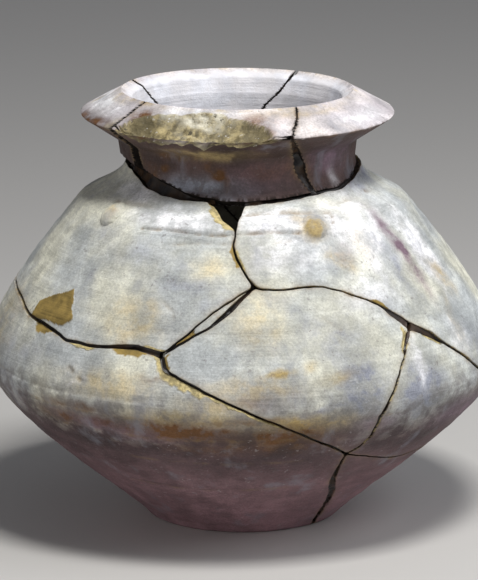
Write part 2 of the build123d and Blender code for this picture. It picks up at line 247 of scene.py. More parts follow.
class CadNode:
    """A CAD node's mesh, welded, and how each triangle faces an apex inside the jar."""

    CLEAR = 0.09
    FLAT = 0.01
    NECK_APEX = np.array([0.0, 0.0, 140.0 * MM])

    def __init__(self, node: bpy.types.Object, apex: Array) -> None:
        """Reads the node.

        Args:
            node: the CAD node's object.
            apex: the point that the break faces run to.
        """
        mesh = node.data
        corners = np.zeros(len(mesh.vertices) * 3, np.float32)
        mesh.vertices.foreach_get("co", corners)
        corners = corners.reshape(-1, 3).astype(float)
        index = np.zeros(len(mesh.loops), np.int32)
        mesh.loops.foreach_get("vertex_index", index)
        _, first, welded = np.unique(
            np.round(corners * 1e6).astype(int), axis=0, return_index=True, return_inverse=True
        )
        triangles = welded.reshape(-1)[index].reshape(-1, 3)
        whole = (triangles != np.roll(triangles, 1, axis=1)).all(axis=1)
        self.apex = apex
        self.points = corners[first]
        self.triangles = triangles[whole]
        self.facing = self.facing_from(apex)
        self.at_neck = np.abs(self.facing_from(self.NECK_APEX)) < self.FLAT

    def facing_from(self, apex: Array) -> Array:
        """The cosine between each triangle's normal and its direction from an apex.

        Args:
            apex: the point that the directions start from.

        Returns:
            The cosine for each triangle.
        """
        a, b, c = (self.points[self.triangles[:, side]] for side in range(3))
        normal = unit(np.cross(b - a, c - a))
        return np.sum(normal * unit((a + b + c) / 3.0 - apex), axis=1)

    def vertices_of(self, chosen: Array) -> Array:
        """The points of the chosen triangles."""
        return self.points[np.unique(self.triangles[chosen])]

    def skin(self, outside: bool) -> Array:
        """Which triangles lie on the outer or the inner skin, and not on a break."""
        side = self.facing > self.CLEAR if outside else self.facing < -self.CLEAR
        return side & ~self.at_neck

    def outline(self) -> tuple[Array, Array]:
        """Follows the border of the outer skin.

        Returns:
            The way from the apex to each point, anticlockwise from outside, and 1 or 0 for each
            point on the neck join or off it.
        """
        faces = self.triangles[self.skin(outside=True)]
        edges = np.concatenate([faces[:, [0, 1]], faces[:, [1, 2]], faces[:, [2, 0]]])
        known = {tuple(edge) for edge in edges.tolist()}
        follows = {a: b for a, b in known if (b, a) not in known}
        loops = []
        while follows:
            start = next(iter(follows))
            loop = [start]
            while loop[-1] in follows:
                loop.append(follows.pop(loop[-1]))
            loops.append(loop[:-1])
        longest = max(loops, key=lambda loop: np.ptp(self.points[loop], axis=0).sum())
        join = np.unique(self.triangles[self.at_neck & (np.abs(self.facing) > self.CLEAR)])
        return self.points[longest] - self.apex, np.isin(longest, join) * 1.0


class Skin:
    """One skin of the vessel, as its distance from the apex by the angle from +Z."""

    SAMPLES = 6000
    BELL = 60
    KEPT_END = 0.04
    SAME_ANGLE = 2e-4

    def __init__(self, section: Array, apex_height: float, rounding: float) -> None:
        """Joins the points into a section and samples it by angle.

        The distance along a ray at angle t through the straight piece from P to Q is
        (P x (Q - P)) / (d x (Q - P)), with d the ray's direction in the half section.

        Args:
            section: radius and height of points on the skin, from CAD.
            apex_height: the height that the rays start from, on the skin's axis.
            rounding: how far corners are rounded, in metres.
        """
        across = section[:, 0]
        up = section[:, 1] - apex_height
        angle = np.arctan2(across, up)
        order = np.argsort(angle)
        keep = order[np.concatenate([[True], np.diff(angle[order]) > self.SAME_ANGLE])]
        across, up, angle = across[keep], up[keep], angle[keep]
        self.angle = np.linspace(angle[0], angle[-1], self.SAMPLES)
        place = np.clip(np.searchsorted(angle, self.angle) - 1, 0, len(angle) - 2)
        run, rise = across[place + 1] - across[place], up[place + 1] - up[place]
        over = across[place] * rise - up[place] * run
        self.reach = over / (np.sin(self.angle) * rise - np.cos(self.angle) * run)
        step = np.median(self.reach) * (self.angle[1] - self.angle[0])
        bell = np.exp(-0.5 * (np.arange(-self.BELL, self.BELL + 1) * step / rounding) ** 2)
        padded = np.pad(self.reach, self.BELL, mode="edge")
        soft = np.convolve(padded, bell / bell.sum(), "valid")
        fade = ease(0.0, self.KEPT_END, np.minimum(self.angle - angle[0], angle[-1] - self.angle))
        self.reach = blend(self.reach, soft, fade)

    def along(self, directions: Array) -> Array:
        """The distance from the apex to the skin along each direction."""
        return np.interp(tilt_of(directions), self.angle, self.reach)


class Vessel:
    """What the frame says about the whole jar: its apexes, skins and neck join."""

    PELLET_SHERDS = ("shoulder_left", "shoulder_right")
    RIM_SHERDS = ("rim_left", "rim_front", "rim_right", "rim_back")
    RIM_SHIFT = -2.8 * MM
    BODY_APEX = 80.0 * MM
    RIM_APEX = 196.0 * MM
    NECK = 190.0 * MM
    SHOULDER = 145.0 * MM
    JOIN_TOP = 50.0 * MM
    BODY_ROUND, INSIDE_ROUND, RIM_ROUND = 1.2 * MM, 2.5 * MM, 0.6 * MM
    STRAY = ((0.70, 15.0 * MM), (0.28, 5.0 * MM), (0.12, 2.0 * MM))

    def __init__(self, nodes: dict[str, bpy.types.Object]) -> None:
        """Reads every sherd.

        Args:
            nodes: the frame's CAD nodes.
        """
        self.nodes = nodes
        self.noise = ClayNoise(11)
        self.body_apex = np.array([0.0, 0.0, self.BODY_APEX])
        self.rim_apex = np.array([self.RIM_SHIFT, 0.0, self.RIM_APEX])
        self.neck_apex = CadNode.NECK_APEX
        self.body_names = [name for name in sorted(nodes) if not name.startswith(("glue_", "rim_"))]
        self.body = {name: CadNode(nodes[name], self.body_apex) for name in self.body_names}
        self.rim = {name: CadNode(nodes[name], self.rim_apex) for name in self.RIM_SHERDS}
        body_out, body_in = self.body_section(outside=True), self.body_section(outside=False)
        rim_out, rim_in = self.rim_section(outside=True), self.rim_section(outside=False)
        low_out, low_in = (part[part[:, 1] < self.NECK] for part in (rim_out, rim_in))
        high_out, high_in = (part[part[:, 1] > self.SHOULDER] for part in (body_out, body_in))
        self.outer = Skin(np.vstack([body_out, low_out]), self.BODY_APEX, self.BODY_ROUND)
        self.inner = Skin(np.vstack([body_in, low_in]), self.BODY_APEX, self.INSIDE_ROUND)
        self.neck_outer = Skin(high_out, self.neck_apex[2], self.BODY_ROUND)
        self.neck_inner = Skin(high_in, self.neck_apex[2], self.BODY_ROUND)
        self.rim_outer = Skin(np.vstack([rim_out, high_out]), self.RIM_APEX, self.RIM_ROUND)
        self.rim_inner = Skin(np.vstack([rim_in, high_in]), self.RIM_APEX, self.RIM_ROUND)
        self.join_azimuth, self.join_angle = self.neck_join()

    def body_section(self, outside: bool) -> Array:
        """Radius and height of the body's CAD points on one skin, without the sherds with pellets.

        Args:
            outside: True for the outer skin, False for the inner one.

        Returns:
            Radius and height of each point.
        """
        parts = []
        for name, piece in self.body.items():
            if name not in self.PELLET_SHERDS:
                parts.append(piece.vertices_of(piece.skin(outside)))
        points = np.vstack(parts)
        return np.stack([radius_of(points), points[:, 2]], -1)

    def rim_section(self, outside: bool) -> Array:
        """Radius about the rim's axis and height of its CAD points, without the flaked sherd.

        Args:
            outside: True for the outer skin, False for the inner one.

        Returns:
            Radius and height of each point.
        """
        parts = []
        for name, piece in self.rim.items():
            if name != "rim_front":
                parts.append(piece.vertices_of(piece.skin(outside)))
        points = np.vstack(parts)
        return np.stack([radius_of(points, self.RIM_SHIFT), points[:, 2]], -1)

    def neck_join(self) -> tuple[Array, Array]:
        """The rim's lower edge: its angle from +Z by azimuth, both seen from the neck's apex.

        Returns:
            Azimuth in degrees, rising, and the angle at each.
        """
        parts = []
        for piece in self.rim.values():
            join = piece.at_neck & (np.abs(piece.facing) > CadNode.CLEAR)
            parts.append(piece.vertices_of(join))
        points = np.vstack(parts) - self.neck_apex
        points = points[points[:, 2] < self.JOIN_TOP]
        angle, azimuth = tilt_of(points), azimuth_of(points)
        order = np.argsort(azimuth)
        return azimuth[order], angle[order]

    def under_skin(self, points: Array) -> Array:
        """Carries points of the outer skin towards the neck's apex until they meet the inner skin.

        Args:
            points: places on the outer skin near the neck join.

        Returns:
            The directions of the places on the inner skin, from the body's apex.
        """
        ray = unit(self.neck_apex - points)
        steps = np.linspace(4.0, 16.0, 60) * MM
        spots = points[None] + ray[None] * steps[:, None, None] - self.body_apex
        beyond = np.linalg.norm(spots, axis=-1) - self.inner.along(spots)
        first = np.argmax(beyond < 0.0, axis=0)
        return unit(np.take_along_axis(spots, first[None, :, None], axis=0)[0])

    def join_angle_at(self, azimuth: Array) -> Array:
        """The neck join's angle from +Z at an azimuth, both seen from the neck's apex."""
        return np.interp(azimuth, self.join_azimuth, self.join_angle, period=360.0)

    def wander(self, points: Array) -> Array:
        """How far a break line strays at a point, sideways to its direction from the body's apex.

        Noise at 15, 5 and 2 mm, of 0.7, 0.28 and 0.12 mm, gives each axis, and the part along
        the direction is taken out. Both sides of a join read it at the same place, so they match.

        Args:
            points: places on or in the wall.

        Returns:
            The moves in metres.
        """
        ray = unit(points - self.body_apex)
        spots = self.body_apex + ray * 110.0 * MM
        moves = []
        for axis in range(3):
            shifted = spots + (axis + 1) * 0.31
            moves.append(sum(share * self.noise.smooth(shifted, size) for share, size in self.STRAY))
        move = np.stack(moves, -1) * MM
        return move - ray * np.sum(move * ray, axis=-1, keepdims=True)


# --------------------------------------------------------------------------- marks on the clay


@dataclass(frozen=True)
class Blot:
    """A soft oval mark: its place, half length and half height in millimetres, and strength."""

    mark: Mark
    azimuth: float
    height: float
    length: float
    rise: float
    strength: float = 1.0
    tilt: float = 0.0

    def cover(self, azimuth: Array, height: Array, radius: Array) -> Array:
        """Strength times exp(-(u^2 + v^2)^1.3), with u and v along and across, in half sizes.

        Args:
            azimuth: degrees.
            height: metres.
            radius: metres.

        Returns:
            The share at each point.
        """
        along = np.radians(turn_between(azimuth, self.azimuth)) * radius
        up = height - self.height * MM
        lean = np.radians(self.tilt)
        u = (along * np.cos(lean) + up * np.sin(lean)) / (self.length * MM)
        v = (up * np.cos(lean) - along * np.sin(lean)) / (self.rise * MM)
        return self.strength * np.exp(-((u * u + v * v) ** 1.3))


def stains(table: dict[Mark, tuple[tuple[float, ...], ...]]) -> tuple[Blot, ...]:
    """A blot for each row: azimuth, height, half length, half height, strength and tilt."""
    return tuple(Blot(mark, *row) for mark, rows in table.items() for row in rows)


@dataclass(frozen=True)
class Chip:
    """A stretch of break edge that has flaked: where it is, how wide, how deep, and its colour."""

    mark: Mark
    azimuth: float
    height: float
    length: float
    rise: float
    width: float
    depth: float
    tilt: float = 0.0

    def cover(self, azimuth: Array, height: Array, radius: Array, inward: Array, ragged: Array) -> Array:
        """How deep the flake is, as a share: full at the edge and nothing at its ragged inner border.

        Args:
            azimuth: degrees.
            height: metres.
            radius: metres.
            inward: the way to the break line, in metres.
            ragged: noise that frays the border.

        Returns:
            The share at each point.
        """
        oval = Blot(self.mark, self.azimuth, self.height, self.length, self.rise, 1.0, self.tilt)
        near = oval.cover(azimuth, height, radius)
        width = self.width * MM * ease(0.25, 0.7, near) * (1.0 + 0.45 * ragged)
        return np.clip(1.0 - inward / np.maximum(width, 1e-6), 0.0, 1.0)


@dataclass(frozen=True)
class Scratch:
    """A line cut in the clay: its course as (azimuth, height), half width, depth and pushed-up lip."""

    course: tuple[tuple[float, float], ...]
    width: float
    depth: float
    lip: float = 0.0

    def cut(self, azimuth: Array, height: Array, radius: Array) -> Array:
        """Depth times exp(-(d / width)^2) less lip times the same bell just below, in millimetres.

        Args:
            azimuth: degrees.
            height: metres.
            radius: metres.

        Returns:
            The cut, which is negative where the clay is pushed up.
        """
        total = np.zeros(azimuth.shape)
        for (x0, y0), (x1, y1) in zip(self.course, self.course[1:]):
            side = np.radians(turn_between(azimuth, x0)) * radius / MM
            up = height / MM - y0
            run, rise = np.radians(x1 - x0) * radius / MM, y1 - y0
            share = np.clip((side * run + up * rise) / (run * run + rise * rise), 0.0, 1.0)
            away = np.hypot(side - share * run, up - share * rise)
            below = np.hypot(side - share * run, up - share * rise + 1.5 * self.width)
            bell = self.depth * np.exp(-((away / self.width) ** 2))
            rim = self.lip * np.exp(-((below / self.width) ** 2))
            total = np.where(bell - rim > np.abs(total), bell - rim, total)
            total = np.where((bell < 0.02) & (rim > 0.01) & (total <= 0.0), np.minimum(total, -rim), total)
        return total


BODY_SCRATCHES = (
    Scratch(((-36, 160.2), (-20, 160.6), (-8, 160.0), (6, 160.8), (19, 160.2)), 0.85, 1.3, 0.6),
    Scratch(((-58, 167.6), (-40, 168.4), (-22, 168.0)), 1.0, 0.7, 0.4),
    Scratch(((-1, 167.4), (9, 168.2), (18, 168.0), (34.7, 167), (32.7, 163.3)), 0.8, 1.1, 0.6),
    Scratch(((36, 170), (52, 170.5), (70, 171)), 1.0, 0.7, 0.4),
    Scratch(((-26, 154), (-14, 156.5), (-4, 156)), 0.8, 0.5, 0.2),
    Scratch(((8, 156), (16, 157), (26, 156)), 0.8, 0.5, 0.2),
    Scratch(((-70, 86), (-45, 85), (-22, 86)), 1.0, 0.5, 0.3),
    Scratch(((-60, 78), (-35, 76.5), (-8, 76.5), (20, 75.5), (40, 76.5)), 1.0, 0.7, 0.4),
    Scratch(((-50, 67), (-20, 66.3), (12, 67)), 1.0, 0.6, 0.3),
    Scratch(((-30, 52), (-5, 51.5), (15, 53)), 1.0, 0.5, 0.3),
    Scratch(((-40, 33), (-12, 32), (14, 34)), 1.0, 0.5, 0.3),
    Scratch(((-22, 132), (-18, 127), (-17, 121)), 0.8, 0.4),
    Scratch(((20, 124), (24, 118)), 0.8, 0.4),
    Scratch(((-41.6, 96.2), (-40.9, 95.3)), 1.4, 1.8),
    Scratch(((-38.3, 92.4), (-37.8, 91.8)), 1.0, 1.2),
)

BODY_BLOTS = stains(
    {
        Mark.OCHRE: (
            (-52, 164, 4, 3, 0.55), (25, 161, 6.5, 5, 0.85), (21, 166, 4, 3, 0.4),
            (30, 147, 8, 4.5, 0.5, -30), (27, 150, 3, 2.5, 0.6), (-28, 121, 17, 10, 0.45),
            (-25, 127, 9, 5, 0.35), (8, 100, 6, 2.6, 0.75, 10), (14, 103, 4, 3.0, 0.35, 10),
            (20, 97, 9, 3.0, 0.45, 10), (3, 94, 26, 6, 0.40), (-6, 86, 20, 7, 0.45),
            (14, 76, 22, 5, 0.8), (66, 131, 4, 9, 0.5, 30), (61, 112, 4, 12, 0.35),
            (-10, 146, 8, 5, 0.35), (4, 122, 12, 14, 0.35), (-76, 104, 20, 18, 0.3),
            (-30, 92, 26, 7, 0.45), (-12, 79, 30, 5, 0.55), (40, 153, 7, 10, 0.25),
        ),
        Mark.UMBER: (
            (-14, 71, 46, 5.5, 0.95, -2), (10, 69, 32, 6.5, 0.85), (0, 78, 22, 2.2, 0.5, 3),
            (-40, 79, 22, 3.0, 0.6), (-18, 97, 14, 1.4, 0.35), (12, 161, 3, 1.0, 0.35),
            (2, 62, 40, 4, 0.5), (4, 87, 16, 4, 0.3), (-44, 72, 20, 5, 0.6),
        ),
        Mark.VIOLET: (
            (54.5, 146, 4.0, 19, 0.95, 8), (31, 150, 5, 5, 0.3), (-30, 70, 36, 4.0, 0.95, -4),
            (62, 68, 26, 8, 0.7), (30, 73, 12, 4, 0.5),
        ),
        Mark.SLATE: (
            (-49, 156, 10, 5, 0.45), (-33, 150, 18, 7, 0.35), (27, 90, 16, 20, 0.8),
            (22, 116, 16, 12, 0.5), (30, 128, 16, 5, 0.35), (10, 132, 10, 3, 0.35),
            (48, 145, 5, 20, 0.7, 12), (42, 140, 5, 14, 0.4, 12), (18, 83, 24, 2.6, 0.7, 14),
            (43, 87, 17, 14, 0.95), (6, 88, 20, 9, 0.5), (68, 178, 26, 7, 0.9),
            (66, 96, 10, 14, 0.5), (-14, 138, 20, 3.5, 0.5), (-8, 130, 9, 6, 0.35),
            (4, 150, 9, 5, 0.4), (-60, 172, 22, 5, 0.25), (-60, 98, 30, 6, 0.4),
        ),
        Mark.CHALK: (
            (12, 165, 24, 5, 0.9), (-22, 165, 28, 4, 0.8), (42, 160, 22, 12, 0.85),
            # Painted light: (42, 151) lightens the right shoulder on the side the light comes from, and (-50,
            # 174) lightens the left ledge out of the rim's shadow.
            (42, 151, 8, 12, 0.95), (-50, 174, 18, 5, 0.8), (64, 145, 10, 18, 0.95),
            (14, 152, 22, 9, 0.6), (36, 132, 14, 9, 0.45), (-37, 93, 2.0, 1.2, 0.9),
            (-40, 89.5, 3.0, 0.8, 0.8, 40), (43, 100, 3, 12, 0.7), (30, 146, 3.0, 0.7, 0.9, -35),
            (60, 106, 8, 8, 0.6),
        ),
    }
)

RESIDUE_FAN = ((-61.8, 112.6), (-61.6, 121.0), (-50.0, 130.4), (-45.9, 117.4), (-48.3, 113.8), (-54.7, 114.2))

BODY_CHIPS = {
    "lower_left": (
        Chip(Mark.FRESH, -14, 99, 17, 11, 3.6, 1.6, -42),
        Chip(Mark.FRESH, 0, 84, 22, 9, 1.3, 0.8, -30),
        Chip(Mark.RESIDUE, -27, 108, 9, 5, 3.6, 1.6),
        Chip(Mark.RESIDUE, -55, 110, 7, 5, 3.2, 1.2),
        Chip(Mark.FRESH, -40, 107, 8, 4, 1.4, 0.5),
    ),
    "shoulder_left": (
        Chip(Mark.FRESH, -8.5, 167, 9, 6, 4.6, 2.4, -45),
        Chip(Mark.RESIDUE, -3, 150, 4, 6, 1.8, 0.8),
        Chip(Mark.FRESH, -21, 110.5, 6, 3, 1.2, 0.6),
    ),
    "shoulder_right": (
        Chip(Mark.FRESH, -0.5, 150, 3, 7, 1.3, 0.6),
        Chip(Mark.RESIDUE, 37.5, 127, 5, 4, 1.2, 0.5),
    ),
    "belly_centre": (
        Chip(Mark.FRESH, 40.5, 109, 4, 8, 4.2, 1.3),
        Chip(Mark.RESIDUE, -17, 105, 3, 4, 1.6, 0.7),
    ),
    "belly_sliver": (Chip(Mark.RESIDUE, -14.5, 116, 6, 6, 5.0, 0.5),),
    "belly_right": (Chip(Mark.FRESH, 49, 107, 8, 6, 1.3, 0.6),),
}

RIM_BLOTS = stains(
    {
        Mark.UMBER: (
            (-9, 184, 4.2, 3.6, 1.0), (-5, 180, 3, 5, 0.7), (-13, 188, 3, 3, 0.7),
            (-36, 186, 2.4, 1.8, 1.0), (-30, 193, 12, 2.2, 0.6), (-44, 178, 10, 8, 0.6),
            # Painted shade: (-42, 209) and (7, 209) darken the two ends of the lip's flake, where the step of
            # the break throws shade; the flake's colour reads this mask.
            (30, 185, 14, 6, 0.4), (-42, 209, 11, 6.0, 1.0), (7, 209, 9, 5.0, 1.0),
            # (-90, 201) and (-70, 204.8), with the slate (-74, 205.2), paint the left lip's dark underside
            # onto its top face: part its dark olive colour, part painted shade.
            (-90, 201, 40, 3.5, 0.9), (-70, 204.8, 26, 3.8, 0.85), (15, 185, 14, 6, 0.35),
            (42, 205.2, 24, 0.9, 0.7),
        ),
        Mark.OCHRE: (
            (-14, 195, 24, 3.2, 0.55), (30, 214.5, 30, 1.6, 0.35), (-95, 211, 4, 2.0, 0.4),
            (-70, 215, 12, 1.5, 0.4),
        ),
        Mark.CHALK: (
            (-19, 209, 12, 4.5, 0.35), (52, 181, 3, 7, 0.35), (-85, 212, 30, 3.5, 0.95),
            (-20, 215, 26, 2.0, 0.8), (75, 210, 34, 3, 0.6),
        ),
        Mark.SLATE: (
            # (-74, 205.2): part of the left lip's painted underside, dark colour and painted shade.
            (-74, 205.2, 26, 4.0, 1.0), (-18, 179, 26, 5, 0.8),
        ),
        Mark.SPALL: (
            (-52, 206.5, 7, 3.0, 0.7),
        ),
        Mark.VIOLET: (
            (12, 184, 18, 7, 0.45), (50, 190, 16, 8, 0.8), (84, 210, 18, 4.0, 0.4),
            (64, 212, 22, 2.0, 0.15), (14, 213, 24, 2.5, 0.15),
        ),
    }
)


def inside_polygon(azimuth: Array, height: Array, corners: tuple[tuple[float, float], ...]) -> Array:
    """Whether each place is inside a polygon, by how often a line to its right crosses the sides.

    Args:
        azimuth: degrees.
        height: metres.
        corners: (azimuth, height in millimetres) of the corners in order.

    Returns:
        True for each place inside.
    """
    level = height / MM
    odd = np.zeros(azimuth.shape, bool)
    for (x0, y0), (x1, y1) in zip(corners, corners[1:] + corners[:1]):
        crosses = (level < max(y0, y1)) & (level >= min(y0, y1)) & (y0 != y1)
        place = x0 + (level - y0) * (x1 - x0) / ((y1 - y0) or 1.0)
        odd ^= crosses & (azimuth < place)
    return odd


# --------------------------------------------------------------------------- putting a mesh together


class Sheets:
    """Grids of points with their marks, welded into one closed mesh."""

    SHARP = float(np.radians(38.0))

    def __init__(self) -> None:
        """Starts with nothing."""
        self.points: list[Array] = []
        self.faces: list[Array] = []
        self.marks: dict[Mark, list[Array]] = {mark: [] for mark in Mark}
        self.count = 0

    def add(self, grid: Array, marks: dict[Mark, Array | float]) -> None:
        """Adds a sheet of quads between neighbouring points of a grid.

        Args:
            grid: points by row and column.
            marks: masks by row and column, or one number for the whole sheet.
        """
        rows, columns = grid.shape[:2]
        index = self.count + np.arange(rows * columns).reshape(rows, columns)
        quads = np.stack([index[:-1, :-1], index[:-1, 1:], index[1:, 1:], index[1:, :-1]], -1)
        self.faces.append(quads.reshape(-1, 4))
        self.points.append(grid.reshape(-1, 3))
        for mark in Mark:
            values = np.broadcast_to(marks.get(mark, 0.0), (rows, columns))
            self.marks[mark].append(values.reshape(-1))
        self.count += rows * columns

    def to_object(self, name: str) -> bpy.types.Object:
        """Welds the sheets, turns their faces outwards and makes the object.

        Args:
            name: the object's name.

        Returns:
            The new object, linked to the scene.
        """
        mesh = bpy.data.meshes.new(name)
        points, faces = np.vstack(self.points), np.vstack(self.faces)
        mesh.vertices.add(len(points))
        mesh.vertices.foreach_set("co", points.astype(np.float32).ravel())
        mesh.loops.add(faces.size)
        mesh.loops.foreach_set("vertex_index", faces.astype(np.int32).ravel())
        mesh.polygons.add(len(faces))
        mesh.polygons.foreach_set("loop_start", np.arange(0, faces.size, 4, dtype=np.int32))
        mesh.update(calc_edges=True)
        for mark, parts in self.marks.items():
            layer = mesh.attributes.new(mark.value, "FLOAT", "POINT")
            layer.data.foreach_set("value", np.concatenate(parts).astype(np.float32))
        welded = bmesh.new()
        welded.from_mesh(mesh)
        bmesh.ops.remove_doubles(welded, verts=welded.verts, dist=0.004 * MM)
        bmesh.ops.recalc_face_normals(welded, faces=welded.faces)
        for face in welded.faces:
            face.smooth = True
        welded.to_mesh(mesh)
        welded.free()
        mesh.set_sharp_from_angle(angle=self.SHARP)
        piece = bpy.data.objects.new(name, mesh)
        bpy.context.scene.collection.objects.link(piece)
        return piece


# --------------------------------------------------------------------------- the body's sherds


@dataclass
class BodySherd:
    """One sherd of the body: a patch of the wall that its break lines bound."""

    node: str
    step: float = 1.05 * MM
    wall_rows: int = 7
    inner_rows: int = 20
    edge_round: float = 0.55 * MM

    EDGE_ROWS = (0.0, 0.12, 0.28, 0.5, 0.8, 1.2, 1.7, 2.4, 3.2)
    EDGE_FAR = 12.0 * MM
    PELLETS = ((-52.3, 163.0), (25.0, 162.0))
    PELLET_RADIUS, PELLET_RISE = 5.6 * MM, 3.0 * MM
    RESIDUE_RISE = 0.35 * MM
    HOLLOW_HEIGHT, HOLLOW_WIDTH = 74.0 * MM, 1.6 * MM

    def border(self, vessel: Vessel) -> tuple[Array, Array]:
        """The sherd's break line on the outer skin and on the inner one, as directions.

        They are the same but along the neck join, where the break runs to the neck's apex.

        Args:
            vessel: what the frame says about the jar.

        Returns:
            The outer and the inner directions.
        """
        line, at_neck = vessel.body[self.node].outline()
        gaps = np.linalg.norm(np.diff(np.vstack([line, line[:1]]), axis=0), axis=1)
        run = np.concatenate([[0.0], np.cumsum(gaps)])
        count = max(160, int(run[-1] / self.step))
        pace = run[-1] / count
        loop = unit(smoothed(resample(line, count, closed=True), 0.9 * MM / pace))
        share = np.interp(np.arange(count) * pace, run, np.append(at_neck, at_neck[0]))
        share = smoothed(np.stack([share] * 3, -1), 1.6 * MM / pace)[:, :1]
        outer = vessel.body_apex + loop * vessel.outer.along(loop)[:, None]
        return loop, unit(blend(loop, vessel.under_skin(outer), share))

    def rings(self, vessel: Vessel, loop: Array, middle: Array) -> Array:
        """The sherd's directions, ring by ring from its middle to its break line.

        With c the middle and L(s) the break line, a ring at share t is the point at t of the
        great circle from c to L(s). The last rings keep set distances from the break.

        Args:
            vessel: what the frame says about the jar.
            loop: the break line.
            middle: the middle.

        Returns:
            Directions by ring and place.
        """
        angle = np.arccos(np.clip(loop @ middle, -1.0, 1.0))
        reach = np.median(vessel.outer.along(loop))
        width = np.array(self.EDGE_ROWS) * MM
        narrow = np.minimum(1.0, 0.55 * angle * reach / width[-1])
        edge = 1.0 - width[:, None] * narrow / (angle * reach)
        rows = max(5, int(np.percentile(angle, 75) * reach / (self.step * 1.15)))
        inner = np.linspace(0.0, 1.0, rows, endpoint=False)[:, None] * edge[-1]
        return arcs(middle, loop, np.vstack([inner, edge[::-1]]))

    def to_edge(self, points: Array) -> Array:
        """The distance from each point of the rings to the nearest point of the last ring.

        Args:
            points: the rings, from the middle to the break line.

        Returns:
            Metres, and no more than EDGE_FAR where a row was not worked out.
        """
        border = points[-1].astype(np.float32)
        distance = np.full(points.shape[:2], self.EDGE_FAR)
        for row in range(len(points) - 1, -1, -1):
            here = points[row].astype(np.float32)
            gap = here[:, None, :] - border[None, :, :]
            distance[row] = np.sqrt(np.einsum("abc,abc->ab", gap, gap).min(axis=1))
            if distance[row].min() > self.EDGE_FAR:
                break
        return distance

    def cuts(self, vessel: Vessel, points: Array) -> list[Array]:
        """How deep each scratch cuts in millimetres, on a course that strays by 0.6 mm.

        Args:
            vessel: what the frame says about the jar.
            points: the outer face.

        Returns:
            The cut of each scratch at each point.
        """
        strayed = points[..., 2] + 0.6 * MM * vessel.noise.smooth(points, 20.0 * MM)
        azimuth, radius = azimuth_of(points), radius_of(points)
        return [scratch.cut(azimuth, strayed, radius) for scratch in BODY_SCRATCHES]

    def relief(self, vessel: Vessel, points: Array, cuts: list[Array]) -> Array:
        """How far the outer face stands out: soft dents, throwing rings, scratches and a hollow.

        Dents are noise at 26 and 6 mm, of 0.34 and 0.13 mm. Rings are noise that is 12 times
        longer around than up, at 3 and 1.6 mm, of 0.16 and 0.07 mm. The scratches are cut on
        top, and a broken hollow of 0.35 mm runs round the belly.

        Args:
            vessel: what the frame says about the jar.
            points: the outer face.
            cuts: how deep each scratch cuts.

        Returns:
            The height in metres.
        """
        noise = vessel.noise
        azimuth, height = azimuth_of(points), points[..., 2]
        around = np.stack([np.radians(azimuth) * 60.0 * MM / 12.0, 0.0 * height, height], -1)
        swell = 0.34 * noise.smooth(points, 26.0 * MM) + 0.13 * noise.fractal(points, 6.0 * MM, 2)
        rings = 0.16 * noise.smooth(around, 3.0 * MM) + 0.07 * noise.smooth(around + 0.5, 1.6 * MM)
        groove = -sum(cuts) * (0.8 + 0.5 * noise.smooth(points, 7.0 * MM))
        whole = ease(-0.3, 0.4, noise.smooth(around, 9.0 * MM))
        hollow = -0.35 * np.exp(-(((height - self.HOLLOW_HEIGHT) / self.HOLLOW_WIDTH) ** 2)) * whole
        return (swell + rings + groove + hollow) * MM

    def pellets(self, azimuth: Array, height: Array, radius: Array) -> Array:
        """The applied pellets: domes sqrt(1 - r^2.2) high, with r the way out in pellet radii.

        Args:
            azimuth: degrees.
            height: metres.
            radius: metres.

        Returns:
            The height in metres.
        """
        rise = np.zeros(azimuth.shape)
        for spot, level in self.PELLETS:
            along = np.radians(turn_between(azimuth, spot)) * radius
            away = np.hypot(along, (height - level * MM) * 1.15) / self.PELLET_RADIUS
            rise = np.maximum(rise, np.sqrt(np.clip(1.0 - away**2.2, 0.0, 1.0)))
        return rise * self.PELLET_RISE

    def marks(
        self, vessel: Vessel, points: Array, distance: Array, cuts: list[Array]
    ) -> tuple[dict[Mark, Array], Array]:
        """The masks of the outer face, and how far its chips cut in.

        Args:
            vessel: what the frame says about the jar.
            points: the outer face.
            distance: the way to the break line.
            cuts: how deep each scratch cuts.

        Returns:
            The masks, and the cut in metres.
        """
        noise = vessel.noise
        azimuth, height = azimuth_of(points), points[..., 2]
        radius = radius_of(points)
        ragged = noise.fractal(points, 3.2 * MM, 2)
        loose = noise.fractal(points + 0.2, 9.0 * MM, 3)
        found = {mark: np.zeros(azimuth.shape) for mark in Mark}
        for blot in BODY_BLOTS:
            cover = blot.cover(azimuth + 1.4 * loose, height + 1.2 * MM * ragged, radius)
            found[blot.mark] = np.maximum(found[blot.mark], cover)
        cut = np.zeros(azimuth.shape)
        for chip in BODY_CHIPS.get(self.node, ()):
            share = chip.cover(azimuth, height, radius, distance, ragged)
            cut = np.maximum(cut, chip.depth * MM * share**0.8)
            found[chip.mark] = np.maximum(found[chip.mark], ease(0.02, 0.12, share))
        fan = inside_polygon(azimuth + 0.5 * ragged, height + 0.5 * MM * loose, RESIDUE_FAN)
        found[Mark.RESIDUE] = np.maximum(found[Mark.RESIDUE], fan * 1.0)
        # Darker in the scratches, the deeper the cut the darker.
        for scratch_depth in cuts:
            edge_and_scratch_dark = np.clip(scratch_depth * (0.5 + 0.8 * ragged), 0.0, 0.6)
            found[Mark.EDGE] = np.maximum(found[Mark.EDGE], edge_and_scratch_dark)
        worn = np.exp(-distance / EDGE_WEAR) * (0.75 + 0.5 * ragged)
        found[Mark.EDGE] = np.maximum(found[Mark.EDGE], worn)
        return found, cut

